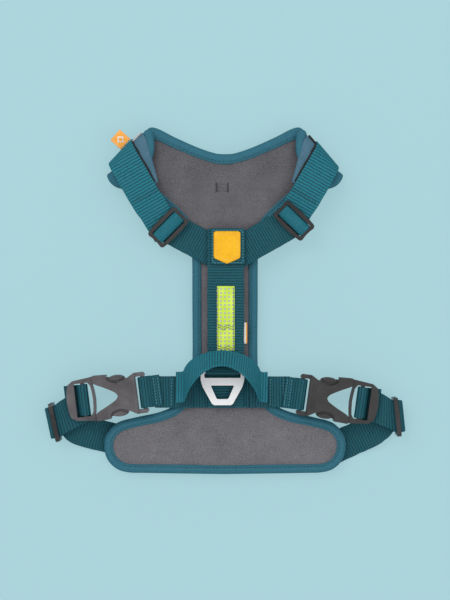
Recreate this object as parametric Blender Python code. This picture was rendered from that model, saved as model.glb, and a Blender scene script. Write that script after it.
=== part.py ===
"""A no pull dog harness, laid flat on the outer face of its chest and belly pad.

+Z is up, +Y points to the neck and +X to the wearer's right as the object lies. The padded front panel is
at the bottom, and the back webbing, buckles, handle and leash ring lie over it. Lengths are in millimetres.
"""

import math

import bmesh
import bpy
from mathutils import Matrix, Vector

MM = 0.001
GAP = 0.3  # between pieces that touch

WEB_WIDTH = 25.0
WEB_THICK = 1.5
SPINE_WIDTH = 29.0

# Front panel: webbing lies under it, then the lip of the edge binding, the shell, the foam and the lining.
LIP_THICK = 0.9
LIP_BOTTOM = WEB_THICK + GAP
SHELL_BOTTOM = LIP_BOTTOM + LIP_THICK + GAP
SKIN_THICK = 1.0
FOAM_BOTTOM = SHELL_BOTTOM + SKIN_THICK + GAP
FOAM_THICK = 3.4
LINING_BOTTOM = FOAM_BOTTOM + FOAM_THICK + GAP
LINING_TOP = LINING_BOTTOM + SKIN_THICK
LIP_TOP = LINING_TOP + GAP + LIP_THICK
SHELL_TO_LINING = LINING_TOP - SHELL_BOTTOM + 2 * GAP
SKIN_INSET = 2.4
CHEST_LIFT = 2.8  # the chest rises over the front ring and its tab
LIFT_FROM_Y = -50.0
LIFT_TO_Y = 40.0
LIFT_STATIONS = 10

# Right half of the panel's edge, from the neck to the middle of the belly.
PANEL_HALF = [
    (0, 117.6), (8, 118.3), (22, 123), (40, 131), (54, 138), (61, 138.4), (65, 132), (64.3, 124),
    (66.7, 117.9), (91.4, 103.5), (94, 98.5), (88, 91.5), (74, 87.5), (58.5, 81.5), (46, 72), (35, 60.5),
    (28.2, 48), (26.4, 36),
    (26.2, 0), (26.3, -52),
    (29.5, -68), (38.5, -82), (52, -89), (70, -93), (86, -97.5), (94.5, -106), (97, -115), (95, -126),
    (88, -134), (78, -137.5), (60, -138.1), (0, -139.0),
]
# The inner edge of the binding's lips, inside the same half.
LIP_HALF = [
    (0, 109.2), (8, 109.8), (22, 114.2), (41, 122), (55.5, 128.4), (58.8, 126), (60.2, 115.4), (82, 102.2),
    (82.5, 99.6), (70, 94.6), (53.5, 88), (40.5, 77.6), (28.2, 64.6), (20.9, 50.5), (18.9, 38), (18.8, 0),
    (18.9, -52.8), (22.3, -71),
    (33.5, -87.8), (49.5, -96.2), (68, -100.3), (82, -104.3), (87.8, -109.5), (89.4, -115.5), (87.8, -122.8),
    (82.8, -128.2), (76, -130.2), (60, -130.6), (0, -131.3),
]
CORNER_STEPS = 3

# Shoulder wings: the panel folds back over itself across the shoulder strap's heading.
STRAP_HEADING = math.radians(60)
FOLD_POINT = (78.75, 111.9)
WING_THICK = 6.0
WING_BEND = 4.5  # radius to the middle of the pad
FOLD_Z = (SHELL_BOTTOM + LINING_TOP) / 2 + CHEST_LIFT + WING_BEND
WING_REACH = 28.0
WING_WIDTH = 29.0
WING_SHIFT = 2.0
BACKING_THICK = 0.6
BACKING_WIDTH = 28.0
BACKING_BEND = WING_BEND + WING_THICK / 2 + GAP + BACKING_THICK / 2
STRAP_BEND = BACKING_BEND + BACKING_THICK / 2 + GAP + WEB_THICK / 2
STRAP_ROOT_Z = 3.4
STRAP_ROOT_REACH = 25.0
STRAP_TOP_REACH = 30.0
STRAP_END_Z = 15.85
BEND_STEPS = 10

# Each side's own settings: where its adjusters sit, as the straps are pulled to different lengths.
SIDES = {
    "left": {
        "sign": -1,
        "adjuster": (45.2, 58.9),
        "adjuster_turn": math.radians(44.5),
        "upper_end": 68.0,
        "lower_heading": math.radians(28),
        "lower_end_z": 15.65,
        "lower_reach": 62.0,
        "buckle": (67.8, -73.1),
        "buckle_tilt": math.radians(7.2),
        "side_adjuster": (136.0, -96.8),
        "side_tilt": math.radians(12),
        "girth_start": (118.0, -103.5),
        "girth_heading": math.radians(14),
        "girth_reach": 58.0,
    },
    "right": {
        "sign": 1,
        "adjuster": (55.05, 64.35),
        "adjuster_turn": math.radians(46),
        "upper_end": 58.5,
        "lower_heading": math.radians(30),
        "lower_end_z": 17.45,
        "lower_reach": 70.0,
        "buckle": (63.9, -74.8),
        "buckle_tilt": math.radians(7.8),
        "side_adjuster": (137.2, -92.4),
        "side_tilt": math.radians(-6),
        "girth_start": (118.5, -104.0),
        "girth_heading": math.radians(26),
        "girth_reach": 40.0,
    },
}

# Three-bar adjusters
ADJUSTER_LENGTH = 31.0
ADJUSTER_WIDTH = 18.5
ADJUSTER_THICK = 3.0
ADJUSTER_RAIL = 3.2
ADJUSTER_BOW = 0.7  # its long sides bow out by this, and its ends bow in
ADJUSTER_BAR = 2.9
SHOULDER_WINDOW = 25.0
SIDE_WINDOW = 26.6
LOWER_START_Z = 14.05
BAND_WIDTH = 24.2
BAND_THICK = 1.2

# Junction between the shoulders and the strip down the back
JUNCTION_X = 2.2
SPINE_X = 0.6
SPINE_TOP_Y = 57.5
SPINE_END_Y = -85.0
SPINE_TOP_Z = 19.25
SPINE_END_Z = 14.65
PATCH_X = 1.6
PATCH_THICK = 1.8
PATCH_BOTTOM = SPINE_TOP_Z + WEB_THICK * 1.5 + 2 * GAP

# Along the spine from its top: where the neon tape and the side label start and end
TAPE_RANGE = (45, 98)
TAPE_WIDTH = 14.0
TAPE_THICK = 1.0
LABEL_RANGE = (74, 92)
LABEL_WIDTH = 7.0
LABEL_THICK = 0.8

# The tag is sewn along the left fold of the shoulder strap
TAG_SIZE = 12.4
TAG_THICK = 0.8
TAG_SPOT = (-83.6, 128.4)

# Strap across the back
CROSS_Y = -72.6
CROSS_Z = 12.85
FOOT_THICK = 1.2
FEET = (("left", -40.0, -26.0), ("right", 20.0, 34.0))
BUCKLE_TO_CROSS = 12.0  # from a buckle's origin to the end of the strap across the back

# Leash ring on its tab
RING_X = -2.0
RING_BAR_Y = -56.0
RING_BAR_Z = 18.9
RING_THICK = 3.0
RING_BAR = 2.4
TAB_THICK = 1.2
TAB_BEND = 2.6
TAB_WIDTH = 26.4

# Handle: a loop of webbing that leans towards the neck
HANDLE_X = -2.5
HANDLE_SPAN = 30.5
HANDLE_LEAN = 27.7
HANDLE_RISE = 27.0
HANDLE_FOOT_Z = 14.5
HANDLE_TURN = math.radians(64)
HANDLE_PINCH = 0.1  # how much narrower than half an ellipse the loop is towards its top
HANDLE_CLEAR = math.radians(22)  # of its arc at each end belongs to the sewn feet
HANDLE_STATIONS = 24

# Side release buckles, in their own frame: +X from the socket's strap bar to the plug, +Y across
BUCKLE_Z = 15.1
SOCKET_HEIGHT = 9.0
SLOT_HEIGHT = 4.8
SLOT_INNER = 8.2
SOCKET_BAR_X = -3.2
SOCKET_BAR = 2.7
SOCKET_BAR_HEIGHT = 3.4
SOCKET_LOOP_BEND = 3.1
HOOK_TOP = 2.6  # the strap end of the socket is lower than its body
PRONG_HEIGHT = 4.2
PRONG_ROOT = (35.6, 13.4)
PLUG_HEIGHT = 5.0
PLUG_BAR_X = 44.6
PLUG_BAR = 3.2
PLUG_BAR_HEIGHT = 3.4
PLUG_LOOP_BEND = 3.3
PLUG_LOOP_END = 60.0
PLUG_STRAP_Z = BUCKLE_Z - PLUG_HEIGHT / 2 - GAP - WEB_THICK / 2

# Side adjusters stand on edge, and the girth strap folds back through them
SIDE_UPPER_Z = 13.35
SIDE_LOWER_Z = 5.85
SIDE_BEND_X = -1.6
SIDE_UPPER_REACH = 11.0
SIDE_LOWER_REACH = 4.0
SIDE_ADJUSTER_THICK = 3.4
BELLY_Y = -113.0
BELLY_X = (-52.0, 66.0)

# Front ring under the chest
FRONT_X = -2.0
FRONT_BAR_Y = 82.0
FRONT_BAR_Z = 2.8
FRONT_BAR = 2.2
FRONT_TAB_THICK = 1.0
FRONT_TAB_BEND = 2.3
FRONT_TAB_WIDTH = 18.0

# The rolled edge down each folded wing, on the right
WING_EDGE = [
    (61.5, 134.5, 17.3), (58.0, 128.0, 18.2), (56.0, 120.0, 18.6), (57.0, 112.0, 18.4), (58.0, 107.0, 18.0),
]
WING_EDGE_RADIUS = 2.6

HARNESS = bpy.data.collections.new("no_pull_harness")
CUTTERS = bpy.data.collections.new("cutters")


def material(name, color, roughness, metallic=0.0):
    made = bpy.data.materials.new(name)
    made.use_nodes = True
    shader = made.node_tree.nodes["Principled BSDF"]
    shader.inputs["Base Color"].default_value = (*color, 1)
    shader.inputs["Roughness"].default_value = roughness
    shader.inputs["Metallic"].default_value = metallic
    made.diffuse_color = (*color, 1)
    return made


def make_materials():
    return {
        "webbing": material("teal_webbing", (0.010, 0.105, 0.130), 0.75),
        "binding": material("teal_binding", (0.022, 0.135, 0.190), 0.70),
        "shell": material("teal_shell", (0.045, 0.140, 0.180), 0.80),
        "lining": material("grey_lining", (0.165, 0.150, 0.165), 0.85),
        "foam": material("white_foam", (0.700, 0.700, 0.680), 0.90),
        "plastic": material("black_plastic", (0.030, 0.028, 0.032), 0.45),
        "ring": material("silver_alloy", (0.800, 0.790, 0.800), 0.30, 1.0),
        "neon": material("neon_tape", (0.600, 0.780, 0.050), 0.50),
        "patch": material("yellow_rubber", (0.850, 0.460, 0.040), 0.55),
        "tag": material("orange_tag", (0.900, 0.400, 0.050), 0.60),
        "label": material("white_label", (0.850, 0.820, 0.780), 0.60),
        "trim": material("black_trim", (0.015, 0.015, 0.018), 0.70),
    }


def smooth(points, steps):
    """Points along a Catmull-Rom curve through an open run of points."""
    ends = [points[0], *points, points[-1]]
    made = []
    for a, b, c, d in zip(ends, ends[1:], ends[2:], ends[3:]):
        for i in range(steps):
            t = i / steps
            made.append(tuple(
                q + (r - p) * t / 2 + (p - 2.5 * q + 2 * r - s / 2) * t**2
                + (1.5 * (q - r) + (s - p) / 2) * t**3
                for p, q, r, s in zip(a, b, c, d)
            ))
    return made + [points[-1]]


def arc(center, radius, start, end, steps):
    """Points on a circle, from one angle in degrees to another."""
    return [
        (
            center[0] + radius * math.cos(math.radians(start + (end - start) * i / steps)),
            center[1] + radius * math.sin(math.radians(start + (end - start) * i / steps)),
        )
        for i in range(steps + 1)
    ]


def offset(points, distance, closed):
    """The points moved sideways to the left of their direction, with mitred corners."""
    made = []
    count = len(points)
    for i, point in enumerate(points):
        before = points[i - 1] if closed or i else None
        after = points[(i + 1) % count] if closed or i < count - 1 else None
        ways = []
        if before is not None:
            ways.append((Vector(point) - Vector(before)).normalized())
        if after is not None:
            ways.append((Vector(after) - Vector(point)).normalized())
        way = sum(ways, Vector((0, 0))).normalized()
        reach = distance / max(way.dot(ways[0]), 0.5)
        made.append((point[0] - way.y * reach, point[1] + way.x * reach))
    return made


def mirrored(half):
    """A closed outline from its right half, which starts and ends on the middle line."""
    return half + [(-x, y) for x, y in reversed(half[1:-1])]


def linked(obj, finish, collection=HARNESS):
    collection.objects.link(obj)
    if finish is not None:
        obj.data.materials.append(finish)
    return obj


def plate(name, outlines, thickness, finish, place=None, collection=HARNESS):
    """A flat plate from a closed outline, and its holes' outlines, centred on its own XY plane."""
    curve = bpy.data.curves.new(name, "CURVE")
    curve.dimensions = "2D"
    curve.fill_mode = "BOTH"
    curve.extrude = thickness * MM / 2
    for outline in outlines:
        spline = curve.splines.new("POLY")
        spline.points.add(len(outline) - 1)
        for point, (x, y) in zip(spline.points, outline):
            point.co = (x * MM, y * MM, 0, 1)
        spline.use_cyclic_u = True
    obj = linked(bpy.data.objects.new(name, curve), finish, collection)
    obj.matrix_world = place or Matrix()
    return obj


def at(x, y, z, turn=0.0):
    """A place in millimetres, turned about +Z."""
    return Matrix.Translation(Vector((x, y, z)) * MM) @ Matrix.Rotation(turn, 4, "Z")


def along(x, y, z, heading):
    """A place whose own X runs along a heading on the ground, and whose own Y is up."""
    return at(x, y, z, heading) @ Matrix.Rotation(math.pi / 2, 4, "X")


def ribbon(name, path, width, thickness, finish, place):
    """Webbing that follows a path in its own XY plane and is as wide as stated across it."""
    outline = offset(path, thickness / 2, False) + offset(path, -thickness / 2, False)[::-1]
    return plate(name, [outline], width, finish, place)


def as_mesh(obj):
    """The object's evaluated shape as a mesh object of the same name and place, with its caps welded."""
    bpy.context.view_layer.update()
    evaluated = obj.evaluated_get(bpy.context.evaluated_depsgraph_get())
    mesh = bpy.data.meshes.new_from_object(evaluated)
    shape = bmesh.new()
    shape.from_mesh(mesh)
    bmesh.ops.remove_doubles(shape, verts=shape.verts, dist=1e-6)
    bmesh.ops.recalc_face_normals(shape, faces=shape.faces)
    shape.to_mesh(mesh)
    shape.free()
    made = bpy.data.objects.new(obj.name, mesh)
    made.matrix_world = obj.matrix_world.copy()
    name = obj.name
    collection = obj.users_collection[0]
    bpy.data.objects.remove(obj)
    made.name = name
    collection.objects.link(made)
    return made


def cut(obj, cutter, operation="DIFFERENCE"):
    modifier = obj.modifiers.new(cutter.name, "BOOLEAN")
    modifier.operation = operation
    modifier.object = cutter
    modifier.solver = "EXACT"
    return obj


def cutter_plate(name, outline, thickness, place):
    made = as_mesh(plate(name, [outline], thickness, None, place, CUTTERS))
    made.hide_render = True
    made.display_type = "WIRE"
    return made


def box_outline(x0, y0, x1, y1):
    return [(x0, y0), (x1, y0), (x1, y1), (x0, y1)]


def rounded_box(width, height, radius, steps=4, center=(0, 0)):
    """A rectangle's outline with round corners."""
    x, y = width / 2 - radius, height / 2 - radius
    corners = [(x, y, 0), (-x, y, 90), (-x, -y, 180), (x, -y, 270)]
    return [
        point
        for cx, cy, start in corners
        for point in arc((center[0] + cx, center[1] + cy), radius, start, start + 90, steps)
    ]


def ellipse(center, rx, ry, steps=20):
    return [
        (
            center[0] + rx * math.cos(math.tau * i / steps),
            center[1] + ry * math.sin(math.tau * i / steps),
        )
        for i in range(steps)
    ]


def lift(y):
    """How far the panel has risen at this Y, in millimetres."""
    t = min(max((y - LIFT_FROM_Y) / (LIFT_TO_Y - LIFT_FROM_Y), 0), 1)
    return CHEST_LIFT * t * t * (3 - 2 * t)


def drape(obj):
    """Cuts a flat plate into strips across Y and lifts its chest end."""
    obj = as_mesh(obj)
    shape = bmesh.new()
    shape.from_mesh(obj.data)
    base = obj.matrix_world.translation.y
    bmesh.ops.triangulate(shape, faces=shape.faces)
    for i in range(LIFT_STATIONS + 1):
        y = (LIFT_FROM_Y + (LIFT_TO_Y - LIFT_FROM_Y) * i / LIFT_STATIONS) * MM - base
        parts = shape.verts[:] + shape.edges[:] + shape.faces[:]
        bmesh.ops.bisect_plane(shape, geom=parts, plane_co=(0, y, 0), plane_no=(0, 1, 0))
    for vertex in shape.verts:
        vertex.co.z += lift((vertex.co.y + base) / MM) * MM
    shape.to_mesh(obj.data)
    shape.free()
    return obj


def build_panel(finish):
    """The padded front panel: shell, foam, lining, and the binding folded round its edge."""
    edge = mirrored(smooth(PANEL_HALF, CORNER_STEPS))
    for name, inset, bottom, thick, skin in (
        ("pad_shell", SKIN_INSET, SHELL_BOTTOM, SKIN_THICK, "shell"),
        ("pad_foam_core", SKIN_INSET + 0.4, FOAM_BOTTOM, FOAM_THICK, "foam"),
        ("pad_lining", SKIN_INSET, LINING_BOTTOM, SKIN_THICK, "lining"),
    ):
        outline = offset(edge, -inset, True)
        drape(plate(name, [outline], thick, finish[skin], at(0, 0, bottom + thick / 2)))
    outer = cutter_plate("binding_slot", offset(edge, -(SKIN_INSET - GAP), True),
                         SHELL_TO_LINING, at(0, 0, (SHELL_BOTTOM + LINING_TOP) / 2))
    ring = [edge, mirrored(smooth(LIP_HALF, CORNER_STEPS))]
    binding = as_mesh(plate("pad_binding", ring, LIP_TOP - LIP_BOTTOM, finish["binding"],
                            at(0, 0, (LIP_TOP + LIP_BOTTOM) / 2)))
    cut(binding, outer)
    drape(binding)


def strap_frame(side):
    """The shoulder strap's own frame: X from the fold towards the adjuster, Y up."""
    sign = side["sign"]
    heading = -STRAP_HEADING if sign < 0 else STRAP_HEADING - math.pi
    return heading, Vector((math.cos(heading), math.sin(heading)))


def build_shoulder(name, side, finish):
    """One wing of the panel, the strap that folds round it, and the strap's adjuster."""
    sign = side["sign"]
    heading, way = strap_frame(side)
    fold_x, fold_y = sign * FOLD_POINT[0], FOLD_POINT[1]
    across = Vector((-way.y, way.x)) * (-sign)
    wing_x = fold_x - across.x * WING_SHIFT
    wing_y = fold_y - across.y * WING_SHIFT
    wing = arc((0, 0), WING_BEND, 270, 90, BEND_STEPS) + [(WING_REACH, WING_BEND)]
    ribbon(f"{name}_wing_pad", wing, WING_WIDTH, WING_THICK, finish["shell"],
           along(wing_x, wing_y, FOLD_Z, heading))
    backing = arc((0, 0), BACKING_BEND, 235, 90, BEND_STEPS) + [(WING_REACH - 1, BACKING_BEND)]
    ribbon(f"{name}_strap_backing", backing, BACKING_WIDTH, BACKING_THICK, finish["trim"],
           along(fold_x, fold_y, FOLD_Z, heading))
    root_z = STRAP_ROOT_Z - FOLD_Z
    end_z = STRAP_END_Z - FOLD_Z
    upper = [(STRAP_ROOT_REACH, root_z), (4, root_z)]
    upper += arc((0, 0), STRAP_BEND, 255, 90, BEND_STEPS)
    upper += [(STRAP_TOP_REACH, STRAP_BEND), (side["upper_end"], end_z)]
    ribbon(f"{name}_shoulder_strap", upper, WEB_WIDTH, WEB_THICK, finish["webbing"],
           along(fold_x, fold_y, FOLD_Z, heading))
    build_shoulder_adjuster(name, side, finish)
    lower_way = -side["lower_heading"] if sign < 0 else side["lower_heading"] - math.pi
    x, y = sign * side["adjuster"][0], side["adjuster"][1]
    end_rise = side["lower_end_z"] - LOWER_START_Z
    lower = [(-8, 0), (14, 0), (24, end_rise * 0.3), (34, end_rise), (side["lower_reach"], end_rise)]
    ribbon(f"{name}_lower_shoulder_strap", lower, WEB_WIDTH, WEB_THICK, finish["webbing"],
           along(x, y, LOWER_START_Z, lower_way))


def adjuster_outlines(opening):
    """A three-bar adjuster's edge and its two windows, as long as stated. Its long side lies along Y."""
    window = (ADJUSTER_WIDTH - 2 * ADJUSTER_RAIL - ADJUSTER_BAR) / 2
    middle = (ADJUSTER_BAR + window) / 2
    x, y = ADJUSTER_WIDTH / 2 - ADJUSTER_BOW, ADJUSTER_LENGTH / 2
    quarter = [(x + ADJUSTER_BOW, 0), (x + ADJUSTER_BOW * 0.8, y * 0.45), (x, y - 2.4), (x - 0.6, y - 0.7)]
    quarter += [(x - 2.2, y), (x * 0.4, y - ADJUSTER_BOW * 0.7), (0, y - ADJUSTER_BOW)]
    top = quarter + [(-a, b) for a, b in reversed(quarter[:-1])]
    edge = top + [(a, -b) for a, b in reversed(top[1:-1])]
    return [
        edge,
        rounded_box(window, opening, 0.8, 2, (middle, 0)),
        rounded_box(window, opening, 0.8, 2, (-middle, 0)),
    ]


def shoulder_slope(side):
    """How steeply the strap comes down to the adjuster, as an angle."""
    drop = FOLD_Z + STRAP_BEND - STRAP_END_Z
    return math.atan2(drop, side["upper_end"] - STRAP_TOP_REACH)


def adjuster_frame(side):
    """The shoulder adjuster's place: it lies on the strap's slope, its own X along the strap."""
    sign = side["sign"]
    heading, way = strap_frame(side)
    slope = shoulder_slope(side)
    spot = Vector((sign * side["adjuster"][0], side["adjuster"][1]))
    from_fold = (spot - Vector((sign * FOLD_POINT[0], FOLD_POINT[1]))).dot(way)
    strap_z = STRAP_END_Z + (side["upper_end"] - from_fold) * math.tan(slope)
    rise = (WEB_THICK + ADJUSTER_THICK) / 2 + GAP
    base = at(spot.x, spot.y, strap_z, heading) @ Matrix.Rotation(slope, 4, "Y")
    turn = -side["adjuster_turn"] if sign < 0 else side["adjuster_turn"] - math.pi
    rise = Matrix.Translation((0, 0, rise * MM / math.cos(slope)))
    return base @ rise @ Matrix.Rotation(turn - heading, 4, "Z")


def build_shoulder_adjuster(name, side, finish):
    frame = adjuster_frame(side)
    plate(f"{name}_shoulder_adjuster", adjuster_outlines(SHOULDER_WINDOW), ADJUSTER_THICK, finish["plastic"], frame)
    band = smooth([(-5.0, -0.85), (-4.3, 1.0), (-1.9, 2.5), (1.9, 2.5), (4.3, 1.0), (5.0, -0.85)], 3)
    ribbon(f"{name}_adjuster_webbing", band, BAND_WIDTH, BAND_THICK, finish["webbing"],
           frame @ Matrix.Rotation(math.pi / 2, 4, "X"))


def build_wing_binding(name, side, finish):
    """The rolled edge binding that runs from the neck corner down the folded wing."""
    sign = side["sign"]
    curve = bpy.data.curves.new(f"{name}_wing_binding", "CURVE")
    curve.dimensions = "3D"
    curve.bevel_depth = WING_EDGE_RADIUS * MM
    curve.bevel_resolution = 2
    curve.use_fill_caps = True
    route = smooth(WING_EDGE, 3)
    spline = curve.splines.new("POLY")
    spline.points.add(len(route) - 1)
    for point, (x, y, z) in zip(spline.points, route):
        point.co = (sign * x * MM, y * MM, z * MM, 1)
    linked(bpy.data.objects.new(f"{name}_wing_binding", curve), finish["binding"])


def build_back(finish):
    """The webbing down the back, its folded end at the junction, and what is sewn to it."""
    spine = smooth([(0, SPINE_TOP_Z), (-70, SPINE_TOP_Z), (-92, 17.2), (-112, SPINE_END_Z)], 4)
    spine += [(SPINE_END_Y - SPINE_TOP_Y, SPINE_END_Z)]
    down = [(-x, z) for x, z in spine]
    ribbon("spine_webbing", down, SPINE_WIDTH, WEB_THICK, finish["webbing"],
           along(SPINE_X, SPINE_TOP_Y, 0, -math.pi / 2))
    junction = rounded_box(27.4, 29.2, 5.0, 4, (JUNCTION_X, 43.2))
    plate("junction_webbing", [junction], WEB_THICK, finish["webbing"],
          at(0, 0, SPINE_TOP_Z + WEB_THICK + GAP))
    half = [(0, 55.3), (9.2, 55.3), (10.6, 53.9), (10.6, 35.2), (9.6, 33.6), (0, 29.4)]
    shield = [(x + PATCH_X, y) for x, y in mirrored(half)]
    patch_z = PATCH_BOTTOM + PATCH_THICK / 2
    plate("rubber_patch", [shield], PATCH_THICK, finish["patch"], at(0, 0, patch_z))
    rise = (WEB_THICK + TAPE_THICK) / 2 + GAP
    tape = [(x, z + rise) for x, z in down if TAPE_RANGE[0] < x < TAPE_RANGE[1]]
    ribbon("reflective_tape", tape, TAPE_WIDTH, TAPE_THICK, finish["neon"],
           along(SPINE_X, SPINE_TOP_Y, 0, -math.pi / 2))
    label = [(x, z - rise) for x, z in down if LABEL_RANGE[0] < x < LABEL_RANGE[1]]
    ribbon("side_label", label, LABEL_WIDTH, LABEL_THICK, finish["label"],
           along(SPINE_X + SPINE_WIDTH / 2 - 2.0, SPINE_TOP_Y, 0, -math.pi / 2))
    tag = rounded_box(TAG_SIZE, TAG_SIZE, 0.8, 2)
    plate("orange_tag", [tag], TAG_THICK, finish["tag"], at(*TAG_SPOT, FOLD_Z, math.pi / 2 - STRAP_HEADING))


def build_cross_strap(finish):
    """The strap over the back between the two buckles, and the handle's sewn feet."""
    left, right = (side["sign"] * (side["buckle"][0] - BUCKLE_TO_CROSS) for side in SIDES.values())
    strap = box_outline(left, CROSS_Y - WEB_WIDTH / 2, right, CROSS_Y + WEB_WIDTH / 2)
    plate("back_girth_strap", [strap], WEB_THICK, finish["webbing"], at(0, 0, CROSS_Z))
    foot_z = CROSS_Z + WEB_THICK / 2 + GAP + FOOT_THICK / 2
    for name, x0, x1 in FEET:
        foot = box_outline(x0, CROSS_Y - WEB_WIDTH / 2, x1, CROSS_Y + WEB_WIDTH / 2)
        plate(f"handle_{name}_foot", [foot], FOOT_THICK, finish["webbing"], at(0, 0, foot_z))


def build_handle(finish):
    """A twisted loop: flat along Y at its feet, and leaning towards the neck at its top."""
    shape = bmesh.new()
    rings = []
    for i in range(HANDLE_STATIONS + 1):
        t = HANDLE_CLEAR + (math.pi - 2 * HANDLE_CLEAR) * i / HANDLE_STATIONS
        middle = Vector((
            HANDLE_X - HANDLE_SPAN * math.cos(t) * (1 - HANDLE_PINCH * math.sin(t) ** 2),
            CROSS_Y + HANDLE_LEAN * math.sin(t),
            HANDLE_FOOT_Z + HANDLE_RISE * math.sin(t),
        ))
        turn = HANDLE_TURN * math.sin(t)
        side = Vector((0, math.cos(turn), -math.sin(turn)))
        run = HANDLE_SPAN * (1 - HANDLE_PINCH * (math.sin(t) ** 2 - 2 * math.cos(t) ** 2)) * math.sin(t)
        way = Vector((run, HANDLE_LEAN * math.cos(t), HANDLE_RISE * math.cos(t)))
        out = side.cross(way).normalized()
        half, thick = side * WEB_WIDTH / 2, out * WEB_THICK / 2
        top, bottom = middle + thick, middle - thick
        corners = (top + half, top - half, bottom - half, bottom + half)
        rings.append([shape.verts.new(corner * MM) for corner in corners])
    for a, b in zip(rings, rings[1:]):
        for i in range(4):
            shape.faces.new((a[i], a[(i + 1) % 4], b[(i + 1) % 4], b[i]))
    shape.faces.new(rings[0])
    shape.faces.new(rings[-1])
    bmesh.ops.recalc_face_normals(shape, faces=shape.faces)
    mesh = bpy.data.meshes.new("handle_loop")
    shape.to_mesh(mesh)
    shape.free()
    mesh.transform(Matrix.Translation(-Vector((0, CROSS_Y, HANDLE_FOOT_Z)) * MM))
    handle = linked(bpy.data.objects.new("handle_loop", mesh), finish["webbing"])
    handle.location = Vector((0, CROSS_Y, HANDLE_FOOT_Z)) * MM


def build_leash_ring(finish):
    """A flat ring plate that turns on its top bar inside a webbing tab."""
    top, body_top, bottom = RING_BAR / 2, -5.0, -26.6
    half = [(0, top), (16, top), (17.4, top - 1.4), (17.2, -7), (15.8, -12)]
    half += [(8.4, bottom + 1.2), (6.6, bottom), (0, bottom)]
    slot = rounded_box(28.8, -top - body_top, 0.8, 2, (0, (body_top - top) / 2))
    hole = [(-8.6, -11), (-9, -11.8), (-4.9, -21), (-3.9, -21.8)]
    hole += [(-x, y) for x, y in hole[::-1]]
    plate("leash_ring", [mirrored(half), slot, hole], RING_THICK, finish["ring"],
          at(RING_X, RING_BAR_Y, RING_BAR_Z))
    tab = [(9, -TAB_BEND), (5, -TAB_BEND)] + arc((0, 0), TAB_BEND, 270, 30, 14)
    ribbon("leash_ring_tab", tab, TAB_WIDTH, TAB_THICK, finish["webbing"],
           along(RING_X, RING_BAR_Y, RING_BAR_Z, -math.pi / 2))


def build_front_ring(finish):
    """The small ring on the outer face of the chest, held by a tab sewn through the panel."""
    top, body_top, bottom = FRONT_BAR / 2, -4.2, -21.0
    half = [(0, top), (12, top), (13, top - 1)] + arc((0, bottom + 13), 13, 0, -70, 5)
    half += [(4, bottom), (0, bottom)]
    hole = [(-10, -6)] + arc((0, bottom + 13), 10, 180, 360, 10) + [(10, -6)]
    slot = rounded_box(20.4, -top - body_top, 0.6, 2, (0, (body_top - top) / 2))
    plate("front_ring", [mirrored(half), slot, hole], FRONT_BAR, finish["ring"],
          at(FRONT_X, FRONT_BAR_Y, FRONT_BAR_Z))
    tab = arc((0, 0), FRONT_TAB_BEND, 150, 450, 14)
    tab[-1:] = [(0, FRONT_TAB_BEND), (-16, FRONT_TAB_BEND)]
    ribbon("front_ring_tab", tab, FRONT_TAB_WIDTH, FRONT_TAB_THICK, finish["webbing"],
           along(FRONT_X, FRONT_BAR_Y, FRONT_BAR_Z, -math.pi / 2))


def buckle_frame(side):
    """The buckle's own frame: X outwards along it, Z up. Right and left buckles are mirror images."""
    sign = side["sign"]
    tilt = -side["buckle_tilt"] if sign > 0 else math.pi + side["buckle_tilt"]
    return at(sign * side["buckle"][0], side["buckle"][1], BUCKLE_Z, tilt)


def socket_half():
    """The socket's outline above its middle line, from its strap end to the fork between its arms."""
    half = [(2.2, 0), (2.2, 13.2), (-5.5, 13.2), (-5.5, 15.0), (-4.2, 16.3), (3.2, 16.3), (5.4, 15.2)]
    half += [(9.4, 12.8), (14, 14.6), (20, 16.4), (26, 17.6), (35.8, 18.1), (36.4, 17.2)]
    half += smooth([(36.4, 12.3), (33.6, 10.6), (29, 8.4), (23, 5.2), (19, 2.6), (17.4, 0)], 3)
    return half


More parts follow.
